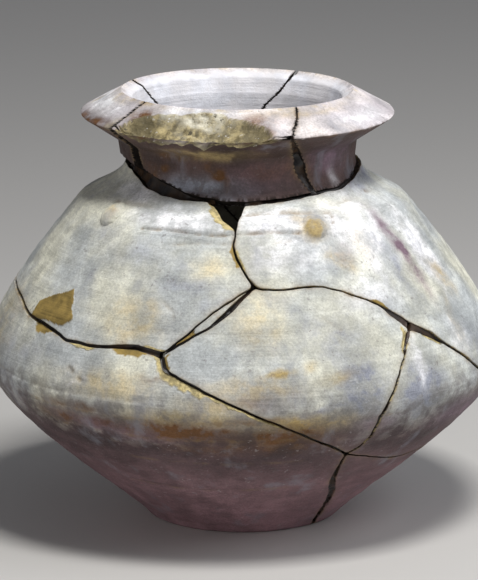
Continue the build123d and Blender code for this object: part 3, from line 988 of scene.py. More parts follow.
    def build(self, vessel: Vessel) -> bpy.types.Object:
        """Builds the sherd: outer rings, the break's face, and inner rings back to the middle.

        Args:
            vessel: what the frame says about the jar.

        Returns:
            The sherd's object.
        """
        apex = vessel.body_apex
        loop, inner_loop = self.border(vessel)
        middle = unit(np.mean(loop, axis=0))
        way = self.rings(vessel, loop, middle)
        smooth_skin = apex + way * vessel.outer.along(way)[..., None]
        distance = self.to_edge(smooth_skin)
        moved = unit(smooth_skin + vessel.wander(smooth_skin) - apex)
        outer = apex + moved * vessel.outer.along(moved)[..., None]
        cuts = self.cuts(vessel, outer)
        marks, cut = self.marks(vessel, outer, distance, cuts)
        height = outer[..., 2]
        fall = np.clip(1.0 - distance / self.edge_round, 0.0, 1.0)
        worn = self.edge_round * (1.0 - np.sqrt(np.clip(1.0 - fall * fall, 0.0, 1.0)))
        worn = worn * (0.8 + 0.6 * vessel.noise.smooth(outer, 2.5 * MM))
        lift = self.relief(vessel, outer, cuts)
        lift += self.pellets(azimuth_of(outer), height, radius_of(outer))
        lift += self.RESIDUE_RISE * ease(0.3, 0.9, marks[Mark.RESIDUE]) * (cut <= 0.0)
        lift = np.where(height < 0.6 * MM, 0.0, lift - cut - worn)
        outer = outer + moved * lift[..., None]
        outer[..., 2] = np.maximum(outer[..., 2], 0.0)
        back = arcs(middle, inner_loop, np.linspace(1.0, 0.0, self.inner_rows)[:, None])
        inner = apex + back * vessel.inner.along(back)[..., None]
        back = unit(inner + vessel.wander(inner) - apex)
        inner = apex + back * vessel.inner.along(back)[..., None]
        dents = 0.25 * MM * vessel.noise.fractal(inner, 14.0 * MM, 3)
        inner = inner - back * dents[..., None]
        depth = np.linspace(0.0, 1.0, self.wall_rows + 2)[1:-1, None, None]
        wall = blend(outer[-1], inner[0], depth)
        inwards = unit(middle - loop * np.sum(middle * loop, axis=-1, keepdims=True))
        rough = (0.18 + 0.22 * vessel.noise.fractal(wall, 1.8 * MM, 2)) * MM
        wall = wall + inwards * rough[..., None]
        sheets = Sheets()
        self.add_ring_sheet(sheets, outer, marks)
        face = np.concatenate([outer[-1:], wall, inner[:1]])
        self.add_ring_sheet(sheets, face, {Mark.FRACTURE: np.ones(face.shape[:2])})
        self.add_ring_sheet(sheets, inner, {Mark.INSIDE: np.ones(inner.shape[:2])})
        return sheets.to_object(f"sherd_{self.node}")

    def add_ring_sheet(self, sheets: Sheets, rings: Array, marks: dict[Mark, Array]) -> None:
        """Adds rings as a sheet that closes on itself.

        Args:
            sheets: what the sheet is added to.
            rings: points by ring and place.
            marks: masks by ring and place.
        """
        closed = np.concatenate([rings, rings[:, :1]], axis=1)
        masks = {mark: np.concatenate([value, value[:, :1]], axis=1) for mark, value in marks.items()}
        sheets.add(closed, masks)


# --------------------------------------------------------------------------- the rim's sherds


@dataclass
class RimSherd:
    """One sherd of the neck and rim, from its break at one side to its break at the other."""

    node: str
    step: float = 0.9 * MM
    cap_rows: int = 8

    ROOT_ANGLE = np.radians(-2.9)
    START_ANGLE = np.radians(-22.0)
    ROWS = (26, 26, 34)
    MEAN_RADIUS = 62.0 * MM
    GAPE = 2.4
    GAPE_OPENS, GAPE_CLOSES = (-0.42, -0.25), (0.02, 0.14)
    NECK_FADE = (182.0 * MM, 192.0 * MM)
    CREST = (214.8 * MM, 216.8 * MM)
    SPALL_FULL = 12.0 * MM
    UNDERSIDE = (0.84, 0.54)
    SPALL = (
        (-50.5, 78.0), (-49.0, 75.5), (-47.0, 70.4), (-43.0, 67.0), (-33.9, 64.9), (-22.2, 62.5),
        (-13.9, 61.0), (-7.4, 62.2), (0.0, 65.0), (7.3, 67.7), (11.6, 70.9), (13.6, 76.5), (14.6, 79.0),
    )

    def sides(self, vessel: Vessel) -> tuple[float, Array, Array, Array, Array]:
        """The two breaks as azimuth by elevation, seen from the rim's apex.

        Args:
            vessel: what the frame says about the jar.

        Returns:
            The sherd's middle azimuth, then elevation and azimuth of the left and right breaks.
        """
        piece = vessel.rim[self.node]
        points = piece.points - vessel.rim_apex
        middle = np.degrees(np.angle(np.mean(np.exp(1j * np.radians(azimuth_of(points))))))
        flat = np.abs(piece.facing) < 0.004
        side = piece.vertices_of(flat) - vessel.rim_apex
        turn = turn_between(azimuth_of(side), middle)
        height = np.pi / 2 - tilt_of(side)
        out = []
        for chosen in (turn < 0, turn > 0):
            order = np.argsort(height[chosen])
            out += [height[chosen][order], turn[chosen][order]]
        return middle, *out

    def lip_angle(self, vessel: Vessel) -> float:
        """The elevation of the lip, where the outer skin is furthest from the axis.

        Args:
            vessel: what the frame says about the jar.

        Returns:
            The elevation in radians.
        """
        skin = vessel.rim_outer
        radius = skin.reach * np.sin(skin.angle) * (skin.angle < np.pi / 2)
        return np.pi / 2 - skin.angle[np.argmax(radius)]

    def bottom(self, vessel: Vessel, skin: Skin, azimuth: Array) -> Array:
        """The elevation at which a skin meets the neck join, at each azimuth about the rim's axis.

        Args:
            vessel: what the frame says about the jar.
            skin: the face's skin.
            azimuth: degrees about the rim's axis.

        Returns:
            The elevations in radians.
        """
        angle = skin.angle[:, None] + 0.0 * azimuth
        radius = (skin.reach * np.sin(skin.angle))[:, None]
        height = vessel.rim_apex[2] + (skin.reach * np.cos(skin.angle))[:, None]
        points = polar(radius, azimuth + 0.0 * angle, height + 0.0 * angle, vessel.rim_apex[0])
        seen = points - vessel.neck_apex
        below = tilt_of(seen) > vessel.join_angle_at(azimuth_of(seen))
        low = (skin.angle > np.pi / 2 + 0.02)[:, None]
        first = np.argmax(below & low, axis=0)
        first = np.where((below & low).any(axis=0), first, len(skin.angle) - 1)
        return np.pi / 2 - skin.angle[first]

    def sheet(self, vessel: Vessel, skin: Skin) -> tuple[Array, Array, Array]:
        """The outer or inner face as elevation and azimuth, by row upwards and column rightwards.

        Rows run from the neck join to the root, on to the lip, and on to the crest. A column at
        share v has the azimuth (1 - v) left(e) + v right(e) at elevation e.

        Args:
            vessel: what the frame says about the jar.
            skin: the face's skin.

        Returns:
            Elevation, azimuth and points.
        """
        middle, low_height, low_turn, high_height, high_turn = self.sides(vessel)
        width = np.radians(np.median(high_turn) - np.median(low_turn)) * self.MEAN_RADIUS
        columns = int(width / self.step)
        across = np.linspace(0.0, 1.0, columns)
        top = np.pi / 2 - vessel.rim_outer.angle[0] - 0.0005
        lip = self.lip_angle(vessel)
        start = np.full(columns, self.START_ANGLE)
        for _ in range(3):
            left = np.interp(start, low_height, low_turn)
            right = np.interp(start, high_height, high_turn)
            start = self.bottom(vessel, skin, middle + blend(left, right, across))
        spans, floor = [], start
        for stop, count in zip((self.ROOT_ANGLE, lip, top), self.ROWS):
            part = np.linspace(0.0, 1.0, count, endpoint=stop == top)[:, None]
            spans.append(blend(floor, np.full(columns, stop), part))
            floor = np.full(columns, stop)
        height = np.concatenate(spans)
        left = np.interp(height, low_height, low_turn)
        right = np.interp(height, high_height, high_turn)
        gape = self.GAPE * ease(*self.GAPE_OPENS, height) * (1.0 - ease(*self.GAPE_CLOSES, height))
        left = left + gape * (self.node == "rim_front")
        right = right - gape * (self.node == "rim_left")
        reach = np.interp(np.pi / 2 - height, skin.angle, skin.reach)
        azimuth = middle + blend(left, right, across)
        shift, _, level = vessel.rim_apex
        points = polar(reach * np.cos(height), azimuth, level + reach * np.sin(height), shift)
        return height, azimuth, points

    def jagged(self, vessel: Vessel, points: Array) -> Array:
        """Strays the breaks sideways, and the lower edge with the body's edge, fading up the neck.

        Args:
            vessel: what the frame says about the jar.
            points: places on the rim or in its joins.

        Returns:
            The moved places.
        """
        noise = vessel.noise
        spots = points + 0.7
        turn = 0.55 * noise.smooth(spots, 11.0 * MM) + 0.25 * noise.smooth(spots, 4.0 * MM)
        centre = points - np.array([vessel.rim_apex[0], 0.0, 0.0])
        side = unit(np.stack([-centre[..., 1], centre[..., 0], 0.0 * centre[..., 2]], -1))
        fade = (1.0 - ease(*self.NECK_FADE, points[..., 2]))[..., None]
        return points + side * (turn * MM)[..., None] * (1.0 - fade) + vessel.wander(points) * fade

    def spall(self, vessel: Vessel, height: Array, azimuth: Array, points: Array) -> tuple[Array, Array]:
        """Breaks the flake from the front of the lip.

        At each azimuth the flake starts at radius b. With s from 0 at b to 1 at the lip, and d the
        share of its full depth there, the face drops by d (2 ease(s / 0.15) + 4 sin(pi s^0.75))
        millimetres, roughened. The lip itself is cut back along the slope of its underside.

        Args:
            vessel: what the frame says about the jar.
            height: elevation of each point.
            azimuth: azimuth of each point.
            points: the outer face.

        Returns:
            The broken face, and the mask of the broken area.
        """
        noise = vessel.noise
        lip = self.lip_angle(vessel)
        shift = vessel.rim_apex[0]
        radius = radius_of(points, shift)
        turn = turn_between(azimuth, 0.0)
        spots, starts = np.array(self.SPALL).T
        ragged = noise.fractal(points + 0.4, 5.0 * MM, 3)
        border = (np.interp(turn, spots, starts, left=90.0, right=90.0) + 0.9 * ragged) * MM
        lip_radius = radius.max()
        on_top = height >= lip - 1e-6
        share = np.clip((radius - border) / np.maximum(lip_radius - border, 1e-5), 0.0, 1.0)
        depth = np.clip((lip_radius - border) / self.SPALL_FULL, 0.0, 1.0)
        grain = noise.fractal(points, 5.0 * MM, 4)
        drop = (2.0 * ease(0.0, 0.15, share) + 4.0 * np.sin(np.pi * share**0.75)) * depth
        steps = noise.smooth(points * np.array([1.0, 1.0, 2.0]) + 0.7, 3.4 * MM)
        drop += (1.5 * grain + 1.3 * steps) * ease(0.0, 0.12, share) * depth
        drop *= on_top * (share > 0)
        back = 1.7 * ease(-50.0, -46.0, turn) * (1.0 - ease(11.0, 15.0, turn)) * (1.0 + 0.6 * ragged)
        near_lip = np.where(on_top, ease(0.35, 1.0, share), ease(66.0 * MM, lip_radius, radius))
        centre = np.stack([points[..., 0] - shift, points[..., 1], 0.0 * radius], -1)
        slope = unit(centre) * self.UNDERSIDE[0]
        slope[..., 2] = self.UNDERSIDE[1]
        broken = points - slope * (back * near_lip * MM)[..., None]
        broken[..., 2] -= drop * MM
        mask = on_top * ease(-0.7 * MM, -0.2 * MM, radius - border)
        return broken, mask

    def marks(self, vessel: Vessel, azimuth: Array, points: Array) -> dict[Mark, Array]:
        """The masks of the outer face.

        Args:
            vessel: what the frame says about the jar.
            azimuth: azimuth of each point.
            points: the outer face.

        Returns:
            The masks.
        """
        loose = vessel.noise.fractal(points + 0.2, 7.0 * MM, 3)
        radius = radius_of(points, vessel.rim_apex[0])
        found = {mark: np.zeros(azimuth.shape) for mark in Mark}
        for blot in RIM_BLOTS:
            cover = blot.cover(azimuth + 2.0 * loose, points[..., 2] + 0.8 * MM * loose, radius)
            found[blot.mark] = np.maximum(found[blot.mark], cover)
        crest = ease(*self.CREST, points[..., 2]) * ease(-0.5, 0.5, loose)
        found[Mark.OCHRE] = np.maximum(found[Mark.OCHRE], 0.5 * crest)
        left = np.linalg.norm(points - points[:, :1], axis=-1)
        right = np.linalg.norm(points - points[:, -1:], axis=-1)
        found[Mark.EDGE] = np.exp(-np.minimum(left, right) / EDGE_WEAR)
        return found

    def build(self, vessel: Vessel) -> bpy.types.Object:
        """Builds the sherd: outer and inner faces, the two breaks and the face of the neck join.

        Args:
            vessel: what the frame says about the jar.

        Returns:
            The sherd's object.
        """
        noise = vessel.noise
        height, azimuth, outer = self.sheet(vessel, vessel.rim_outer)
        _, _, inner = self.sheet(vessel, vessel.rim_inner)
        marks = self.marks(vessel, azimuth, outer)
        outside = unit(outer - vessel.rim_apex)
        swell = 0.22 * noise.smooth(outer, 18.0 * MM) + 0.10 * noise.fractal(outer, 4.0 * MM, 2)
        fade = np.clip((np.arange(len(outer))[::-1, None]) / 4.0, 0.0, 1.0)
        outer = outer + outside * (swell * MM * fade)[..., None]
        if self.node == "rim_front":
            outer, broken = self.spall(vessel, height, azimuth, outer)
            marks[Mark.SPALL] = broken
        inner[-1] = outer[-1]
        outer, inner = self.jagged(vessel, outer), self.jagged(vessel, inner)
        depth = np.linspace(0.0, 1.0, self.cap_rows)
        sheets = Sheets()
        sheets.add(outer, marks)
        below = inner[-1:, :, 2] - inner[..., 2] + 0.8 * MM * noise.fractal(inner, 4.0 * MM, 2)
        sheets.add(inner, {Mark.INSIDE: ease(0.4 * MM, 2.6 * MM, below), Mark.EDGE: marks[Mark.EDGE]})
        for column, sign in ((0, 1.0), (-1, -1.0)):
            face = blend(outer[:, None, column], inner[:, None, column], depth[None, :, None])
            side = unit(outer[:, column + int(sign)] - outer[:, column])[:, None, :]
            middle = np.sin(np.pi * depth)[None, :, None]
            rough = (0.15 + 0.25 * noise.fractal(face, 2.0 * MM, 2)) * MM
            sheets.add(face + side * rough[..., None] * middle, {Mark.FRACTURE: 1.0})
        face = blend(outer[0][None], inner[0][None], depth[:, None, None])
        rise = (0.2 + 0.25 * noise.fractal(face, 2.0 * MM, 2)) * MM * np.sin(np.pi * depth)[:, None]
        face[..., 2] += rise
        sheets.add(face, {Mark.FRACTURE: 1.0})
        return sheets.to_object(f"sherd_{self.node}")


# --------------------------------------------------------------------------- the adhesive


@dataclass
class Bead:
    """The adhesive in one join: a ribbon between two rails, hollow on top where it shrank."""

    node: str
    step: float = 0.9 * MM
    depth: float = 1.9 * MM
    neck_depth: float = 3.6 * MM

    RING = 14
    DEEP = ("glue_neck", "glue_rim_front_left")
    DEPTHS = (0.7 * MM, 4.8 * MM)
    INNER_GAP, THINNEST = 1.6 * MM, 1.0 * MM
    SAG = 0.55 * MM
    OVERLAP = 1.06

    def rails(self, vessel: Vessel, apex: Array) -> tuple[Array, Array]:
        """The two long sides of the CAD bead, as points on its upper face.

        Args:
            vessel: what the frame says about the jar.
            apex: the point that the bead is seen from.

        Returns:
            The two rails, evenly spaced and going the same way.
        """
        line, _ = CadNode(vessel.nodes[self.node], apex).outline()
        length = np.linalg.norm(np.diff(line, axis=0), axis=1).sum()
        loop = resample(line, int(length / (0.4 * MM)), closed=True)
        if self.node == "glue_neck":
            turn = np.unwrap(np.radians(azimuth_of(loop)))
            first, last = int(np.argmin(turn)), int(np.argmax(turn))
        else:
            first = int(np.argmax(np.linalg.norm(loop - loop.mean(axis=0), axis=1)))
            last = int(np.argmax(np.linalg.norm(loop - loop[first], axis=1)))
        rolled = np.roll(loop, -first, axis=0)
        split = (last - first) % len(loop)
        one, two = rolled[: split + 1], np.vstack([rolled[split:], rolled[:1]])[::-1]
        count = max(8, int(length / 2.0 / self.step))
        reach = max(0.5, 0.9 * MM / (length / 2.0 / count))
        one, two = (resample(side, count, closed=False) for side in (one, two))
        return smoothed(one, reach, closed=False), smoothed(two, reach, closed=False)

    def seen_from(self, vessel: Vessel) -> tuple[Array, Skin, Skin]:
        """The apex of the bead's join, and its outer and inner skins.

        Args:
            vessel: what the frame says about the jar.

        Returns:
            The apex, the outer skin and the inner skin.
        """
        if self.node.startswith("glue_rim"):
            return vessel.rim_apex, vessel.rim_outer, vessel.rim_inner
        if self.node == "glue_neck":
            return vessel.neck_apex, vessel.neck_outer, vessel.neck_inner
        return vessel.body_apex, vessel.outer, vessel.inner

    def build(self, vessel: Vessel) -> bpy.types.Object:
        """Builds the bead: a closed ring carried along the join, from the outer to the inner skin.

        The ring's corners are the two rails at the outer and inner ends. Its outer end lies at
        depth + sag (1 - u^2), with u from -1 to 1 across, and the depth strays along the join.

        Args:
            vessel: what the frame says about the jar.

        Returns:
            The bead's object.
        """
        apex, outer_skin, inner_skin = self.seen_from(vessel)
        left, right = self.rails(vessel, apex)
        middle, half = unit(left + right), (left - right) / 2.0
        spots = apex + middle * 0.1
        noise = vessel.noise
        wave = noise.fractal(spots + 0.9, 16.0 * MM, 3)
        deep = self.neck_depth if self.node in self.DEEP else self.depth
        low = inner_skin.along(middle) + self.INNER_GAP
        top = outer_skin.along(middle) - np.clip(deep * (1.0 + 0.75 * wave), *self.DEPTHS)
        top = np.maximum(top, low + self.THINNEST)
        base = np.linalg.norm(left + right, axis=1) / 2.0
        across = np.linspace(-1.0, 1.0, self.RING // 2)[None, :, None]
        spread = self.OVERLAP * across * (half / base[:, None])[:, None]
        sag = self.SAG * (1.0 - across**2)
        top, low, middle = top[:, None, None], low[:, None, None], middle[:, None]
        upper = (top - sag) * middle + spread * top
        lower = low * middle + spread[:, ::-1] * low
        ring = apex + np.concatenate([upper, lower, upper[:, :1]], axis=1)
        ring = ring + 0.12 * MM * noise.fractal(ring, 2.2 * MM, 2)[..., None] * middle
        if self.node.startswith("glue_rim"):
            ring = RimSherd("rim_front").jagged(vessel, ring)
        else:
            ring = ring + vessel.wander(ring)
        sheets = Sheets()
        sheets.add(ring, {})
        for end in (ring[0], ring[-1]):
            sheets.add(np.stack([end, np.broadcast_to(end.mean(axis=0), end.shape)]), {})
        return sheets.to_object(f"bead_{self.node[5:]}")


# --------------------------------------------------------------------------- finishes


Socket = bpy.types.NodeSocket
Tree = bpy.types.NodeTree
Colour = tuple[float, float, float, float]


def darker(colour: Colour, share: float) -> Colour:
    """The colour with its three parts scaled by a share."""
    return (colour[0] * share, colour[1] * share, colour[2] * share, 1.0)


class Graph:
    """Adds nodes to a tree in few words."""

    def __init__(self, tree: bpy.types.NodeTree) -> None:
        """Keeps the tree."""
        self.tree = tree

    def add(
        self, kind: str, inputs: dict[str | int, object] | None = None, **settings: object
    ) -> bpy.types.Node:
        """Adds a node, with its settings and with its inputs set or linked.

        Args:
            kind: the node's type.
            inputs: a value or an output socket for each named or numbered input.
            settings: the node's own properties.

        Returns:
            The node.
        """
        node = self.tree.nodes.new(kind)
        for name, value in settings.items():
            setattr(node, name, value)
        for key, value in (inputs or {}).items():
            if isinstance(value, bpy.types.NodeSocket):
                self.tree.links.new(value, node.inputs[key])
            else:
                node.inputs[key].default_value = value
        return node

    def group(self, tree: Tree, **inputs: object) -> bpy.types.Node:
        """Places a shared group with its own values."""
        return self.add("ShaderNodeGroup", inputs, node_tree=tree)

    def math(self, operation: str, first: object, second: object, clamp: bool = False) -> Socket:
        """The result of a math node."""
        node = self.add("ShaderNodeMath", {0: first, 1: second}, operation=operation, use_clamp=clamp)
        return node.outputs[0]

    def tint(self, share: object, under: object, over: object, mode: str = "MIX") -> Socket:
        """The colour over laid on the colour under by a share."""
        colours = {0: share, 6: under, 7: over}
        return self.add("ShaderNodeMix", colours, data_type="RGBA", blend_type=mode).outputs[2]

    def wash(self, mask: Socket, strength: float, under: object, over: object) -> Socket:
        """The colour over laid on the colour under where a mask says, and as strongly as given."""
        return self.tint(self.math("MULTIPLY", mask, strength, clamp=True), under, over)

    def noise(self, vector: object, scale: object, detail: float = 3.0, rough: float = 0.55) -> Socket:
        """Fractal noise between 0 and 1.

        Args:
            vector: the coordinates.
            scale: cells to a metre.
            detail: how many sizes are added.
            rough: how strong each smaller size is.

        Returns:
            The noise.
        """
        node = self.add(
            "ShaderNodeTexNoise", {"Vector": vector, "Scale": scale, "Detail": detail, "Roughness": rough}
        )
        return node.outputs["Fac"]

    def ramp(self, value: object, low: float, high: float) -> Socket:
        """Rises from 0 at low to 1 at high, and stays level outside.

        Args:
            value: what is read.
            low: where the rise starts.
            high: where the rise ends.

        Returns:
            The share.
        """
        node = self.add(
            "ShaderNodeMapRange", {"Value": value, "From Min": low, "From Max": high},
            interpolation_type="SMOOTHSTEP",
        )
        return node.outputs["Result"]

    def mask(self, mark: Mark) -> Socket:
        """One of the piece's own masks."""
        return self.add("ShaderNodeAttribute", attribute_name=mark.value).outputs["Fac"]


def new_material(name: str) -> tuple[bpy.types.Material, Graph, Socket]:
    """Starts an empty material: itself, its graph and the object's own coordinates.

    Args:
        name: the material's name.

    Returns:
        The material, its graph and the coordinates.
    """
    material = bpy.data.materials.new(name)
    material.use_nodes = True
    material.node_tree.nodes.clear()
    graph = Graph(material.node_tree)
    return material, graph, graph.add("ShaderNodeTexCoord").outputs["Object"]


def new_group(
    name: str, inputs: dict[str, str], outputs: dict[str, str]
) -> tuple[Tree, Graph, bpy.types.Node, bpy.types.Node]:
    """Starts a shader node group.

    Args:
        name: the group's name.
        inputs: the type of each input socket.
        outputs: the type of each output socket.

    Returns:
        The group, its graph, its input node and its output node.
    """
    group = bpy.data.node_groups.new(name, "ShaderNodeTree")
    for title, kind in inputs.items():
        group.interface.new_socket(name=title, in_out="INPUT", socket_type=kind)
    for title, kind in outputs.items():
        group.interface.new_socket(name=title, in_out="OUTPUT", socket_type=kind)
    graph = Graph(group)
    return group, graph, graph.add("NodeGroupInput"), graph.add("NodeGroupOutput")


def throwing_streaks() -> Tree:
    """A group of thin level streaks, as a wheel and a wiping cloth leave them.

    Returns:
        The group: Vector in, Broad and Fine masks out.
    """
    group, graph, source, result = new_group(
        "throwing_streaks",
        {"Vector": "NodeSocketVector"},
        {"Broad": "NodeSocketFloat", "Fine": "NodeSocketFloat"},
    )
    for title, squeeze, scale in (("Broad", 9.0, 11.0), ("Fine", 22.0, 26.0)):
        place = {"Vector": source.outputs["Vector"], "Scale": (1.0, 1.0, squeeze)}
        flat = graph.add("ShaderNodeMapping", place)
        streak = graph.noise(flat.outputs[0], scale, 4.0, 0.6)
        group.links.new(graph.ramp(streak, 0.3, 0.7), result.inputs[title])
    return group


def clay_grain() -> Tree:
    """A group for the fabric of the clay: grit, pinholes and a fine tooth.

    Returns:
        The group: Vector and Size in, Grit and Pits masks and a Height out.
    """
    group, graph, source, result = new_group(
        "clay_grain",
        {"Vector": "NodeSocketVector", "Size": "NodeSocketFloat"},
        {"Grit": "NodeSocketFloat", "Pits": "NodeSocketFloat", "Height": "NodeSocketFloat"},
    )
    vector, size = source.outputs["Vector"], source.outputs["Size"]
    fine = graph.noise(vector, size, 5.0, 0.65)
    wider = graph.math("MULTIPLY", size, 0.45)
    cells = graph.add("ShaderNodeTexVoronoi", {"Vector": vector, "Scale": wider})
    pits = graph.math("SUBTRACT", 1.0, graph.ramp(cells.outputs["Distance"], 0.04, 0.16))
    spread = graph.ramp(graph.noise(vector, graph.math("MULTIPLY", size, 0.12), 2.0), 0.52, 0.62)
    pits = graph.math("MULTIPLY", pits, spread)
    height = graph.math("SUBTRACT", fine, graph.math("MULTIPLY", pits, 0.8))
    group.links.new(graph.ramp(fine, 0.35, 0.65), result.inputs["Grit"])
    group.links.new(pits, result.inputs["Pits"])
    group.links.new(height, result.inputs["Height"])
    return group


def cloudy() -> Tree:
    """A group of soft clouds at two sizes, for slip and stains that never lie evenly.

    Returns:
        The group: Vector in, Wide and Small masks out.
    """
    group, graph, source, result = new_group(
        "cloudy", {"Vector": "NodeSocketVector"}, {"Wide": "NodeSocketFloat", "Small": "NodeSocketFloat"}
    )
    vector = source.outputs["Vector"]
    group.links.new(graph.ramp(graph.noise(vector, 22.0, 4.0), 0.36, 0.64), result.inputs["Wide"])
    group.links.new(graph.ramp(graph.noise(vector, 110.0, 5.0, 0.6), 0.38, 0.62), result.inputs["Small"])
    return group


def flecks() -> Tree:
    """A group of weathering: soft mottling, a hanging veil, and scattered dark and light flecks.

    Returns:
        The group: Vector in, Mottle, Veil, Dark and Light masks out.
    """
    outputs = ("Mottle", "Veil", "Dark", "Light")
    group, graph, source, result = new_group(
        "flecks", {"Vector": "NodeSocketVector"}, {title: "NodeSocketFloat" for title in outputs}
    )
    vector = source.outputs["Vector"]
    hung = graph.add("ShaderNodeMapping", {"Vector": vector, "Scale": (1.0, 1.0, 0.35)})
    mottle = graph.ramp(graph.noise(vector, 48.0, 6.0, 0.62), 0.36, 0.62)
    veil = graph.ramp(graph.noise(hung.outputs[0], 62.0, 5.0, 0.6), 0.54, 0.72)
    spots = graph.noise(vector, 420.0, 3.0, 0.6)
    where = graph.noise(vector, 70.0, 3.0, 0.6)
    dark = graph.math("MULTIPLY", graph.ramp(spots, 0.60, 0.68), graph.ramp(where, 0.46, 0.60))
    light = graph.math("MULTIPLY", graph.ramp(spots, 0.40, 0.33), graph.ramp(where, 0.50, 0.38))
    for title, mask in zip(outputs, (mottle, veil, dark, light)):
        group.links.new(mask, result.inputs[title])
    return group


@dataclass(frozen=True)
class SlipFinish:
    """Pale slip on fired clay, with its stains, worn edges and bare fractures, painted shade low down, inside
    the body and on the break faces, and painted light at the foot.
    """

    slot: Slot
    pale: Colour
    cool: Colour
    inside: Colour
    # low: the colour below low_edge, part the clay's own tone and part painted shade (under the belly, and
    # the lip's shadow on the neck); foot: lighter towards the base as painted light.
    low: Colour
    foot: Colour
    low_edge: tuple[float, float]
    ochre: Colour = (0.50, 0.38, 0.17, 1.0)
    umber: Colour = (0.14, 0.065, 0.025, 1.0)
    violet: Colour = (0.22, 0.15, 0.19, 1.0)
    slate: Colour = (0.28, 0.295, 0.345, 1.0)
    chalk: Colour = (0.90, 0.90, 0.92, 1.0)
    spall: Colour = (0.40, 0.33, 0.17, 1.0)
    fresh: Colour = (0.66, 0.55, 0.27, 1.0)
    # Break faces: glue-stained clay, darkened as painted shade inside the gaps between sherds.
    fracture_and_gap_shade: Colour = (0.075, 0.05, 0.03, 1.0)
    residue: Colour = (0.27, 0.19, 0.055, 1.0)
    soot: Colour = (0.17, 0.15, 0.15, 1.0)
    pinhole: Colour = (0.2, 0.15, 0.11, 1.0)
    edge_and_scratch_dark: Colour = (0.24, 0.17, 0.09, 1.0)
    grit: Colour = (0.80, 0.79, 0.74, 1.0)
    sunlit: Colour = (0.88, 0.86, 0.76, 1.0)
    cream: Colour = (0.86, 0.83, 0.70, 1.0)
    foot_edge: tuple[float, float] = (0.062, 0.004)
    ragged: float = 0.010
    flecked: float = 0.14
    tooth: float = 0.00022
    streaks: float = 0.00010
    lumps: float = 0.0009

    def layers(self) -> tuple[tuple[Mark, Colour, float], ...]:
        """The stains in the order in which they are laid, with how much the clouds break each up.

        Returns:
            Mark, colour and break-up of each stain.
        """
        return (
            (Mark.SLATE, self.slate, 0.9),
            (Mark.CHALK, self.chalk, 0.8),
            (Mark.OCHRE, self.ochre, 1.0),
            (Mark.VIOLET, self.violet, 0.8),
            (Mark.UMBER, self.umber, 1.0),
        )

    def slip(self, graph: Graph, place: Socket, placed: dict[str, bpy.types.Node]) -> Socket:
        """The colour of the slip and of the inside, with stains, streaks, flecks, worn edges, darker
        scratches, painted shade low down and inside the body, and painted light at the foot.

        Args:
            graph: the material's graph.
            place: the object's own coordinates.
            placed: the groups placed in this material.

        Returns:
            The colour.
        """
        cloud, streak, grain, fleck = (placed[name].outputs for name in ("cloud", "streak", "grain", "fleck"))
        small = cloud["Small"]
        level = graph.add("ShaderNodeSeparateXYZ", {0: place}).outputs["Z"]
        # Painted shade and light: below low_edge the slip gives way to the low colour, part real stain and
        # part painted shade, and towards the base the foot colour lightens it as painted light.
        low_stain_and_shade = graph.tint(cloud["Wide"], self.low, darker(self.low, 0.62))
        low_stain_and_shade = graph.tint(graph.ramp(level, *self.foot_edge), low_stain_and_shade, self.foot)
        wavy = graph.math("MULTIPLY", graph.math("SUBTRACT", small, 0.5), self.ragged)
        wavy = graph.math("ADD", level, wavy)
        colour = graph.tint(cloud["Wide"], self.cool, self.pale)
        colour = graph.tint(graph.ramp(wavy, *self.low_edge), low_stain_and_shade, colour)
        for mark, stain, breakup in self.layers():
            patchy = graph.math("MULTIPLY", small, breakup)
            patchy = graph.math("ADD", patchy, 1.0 - 0.5 * breakup)
            share = graph.math("MULTIPLY", graph.mask(mark), patchy, clamp=True)
            colour = graph.tint(share, colour, stain)
        shades = (
            (streak["Broad"], 0.92, 1.03),
            (streak["Fine"], 0.94, 1.03),
            (small, 0.86, 1.07),
            (fleck["Mottle"], 0.78, 1.10),
            (grain["Grit"], 0.84, 1.09),
        )
        for mask, dark, light in shades:
            shade = graph.tint(mask, (dark, dark, dark, 1.0), (light, light, light, 1.0))
            colour = graph.tint(1.0, colour, shade, "MULTIPLY")
        # The EDGE mask darkens the break edges and the scratches.
        worn = graph.math("MULTIPLY", graph.mask(Mark.EDGE), graph.math("ADD", small, 0.25), clamp=True)
        washes = (
            (fleck["Veil"], 0.42, self.slate),
            (fleck["Dark"], 0.5, self.soot),
            (fleck["Light"], self.flecked, self.chalk),
            (grain["Pits"], 0.55, self.pinhole),
            (worn, 0.8, self.edge_and_scratch_dark),
        )
        for mask, strength, over in washes:
            colour = graph.wash(mask, strength, colour, over)
        inner = graph.tint(small, self.inside, darker(self.inside, 0.8))
        inner = graph.wash(fleck["Mottle"], 0.35, inner, self.pale)
        return graph.tint(graph.mask(Mark.INSIDE), colour, inner)

    def flake(self, graph: Graph, placed: dict[str, bpy.types.Node]) -> Socket:
        """The colour of the broken flake: dark rubble speckled with cream and chalk, darker at its two ends
        as painted shade.

        Args:
            graph: the material's graph.
            placed: the groups placed in this material.

        Returns:
            The colour.
        """
        coarse, rubble, fleck = (placed[name].outputs for name in ("coarse", "rubble", "fleck"))
        sunny = graph.math("MULTIPLY", rubble["Pits"], placed["cloud"].outputs["Small"], clamp=True)
        cream = graph.math("MULTIPLY", graph.mask(Mark.CHALK), rubble["Grit"], clamp=True)
        crag = graph.tint(coarse["Grit"], darker(self.spall, 0.35), darker(self.spall, 1.25))
        washes = (
            (rubble["Grit"], 0.65, darker(self.spall, 0.25)),
            (sunny, 2.6, self.sunlit),
            # Painted shade: the UMBER mask darkens the flake's two ends.
            (graph.mask(Mark.UMBER), 0.75, darker(self.spall, 0.28)),
            (cream, 1.1, self.cream),
            (fleck["Light"], 0.7, self.chalk),
            (fleck["Dark"], 0.9, darker(self.spall, 0.12)),
        )
        for mask, strength, over in washes:
            crag = graph.wash(mask, strength, crag, over)
        return crag

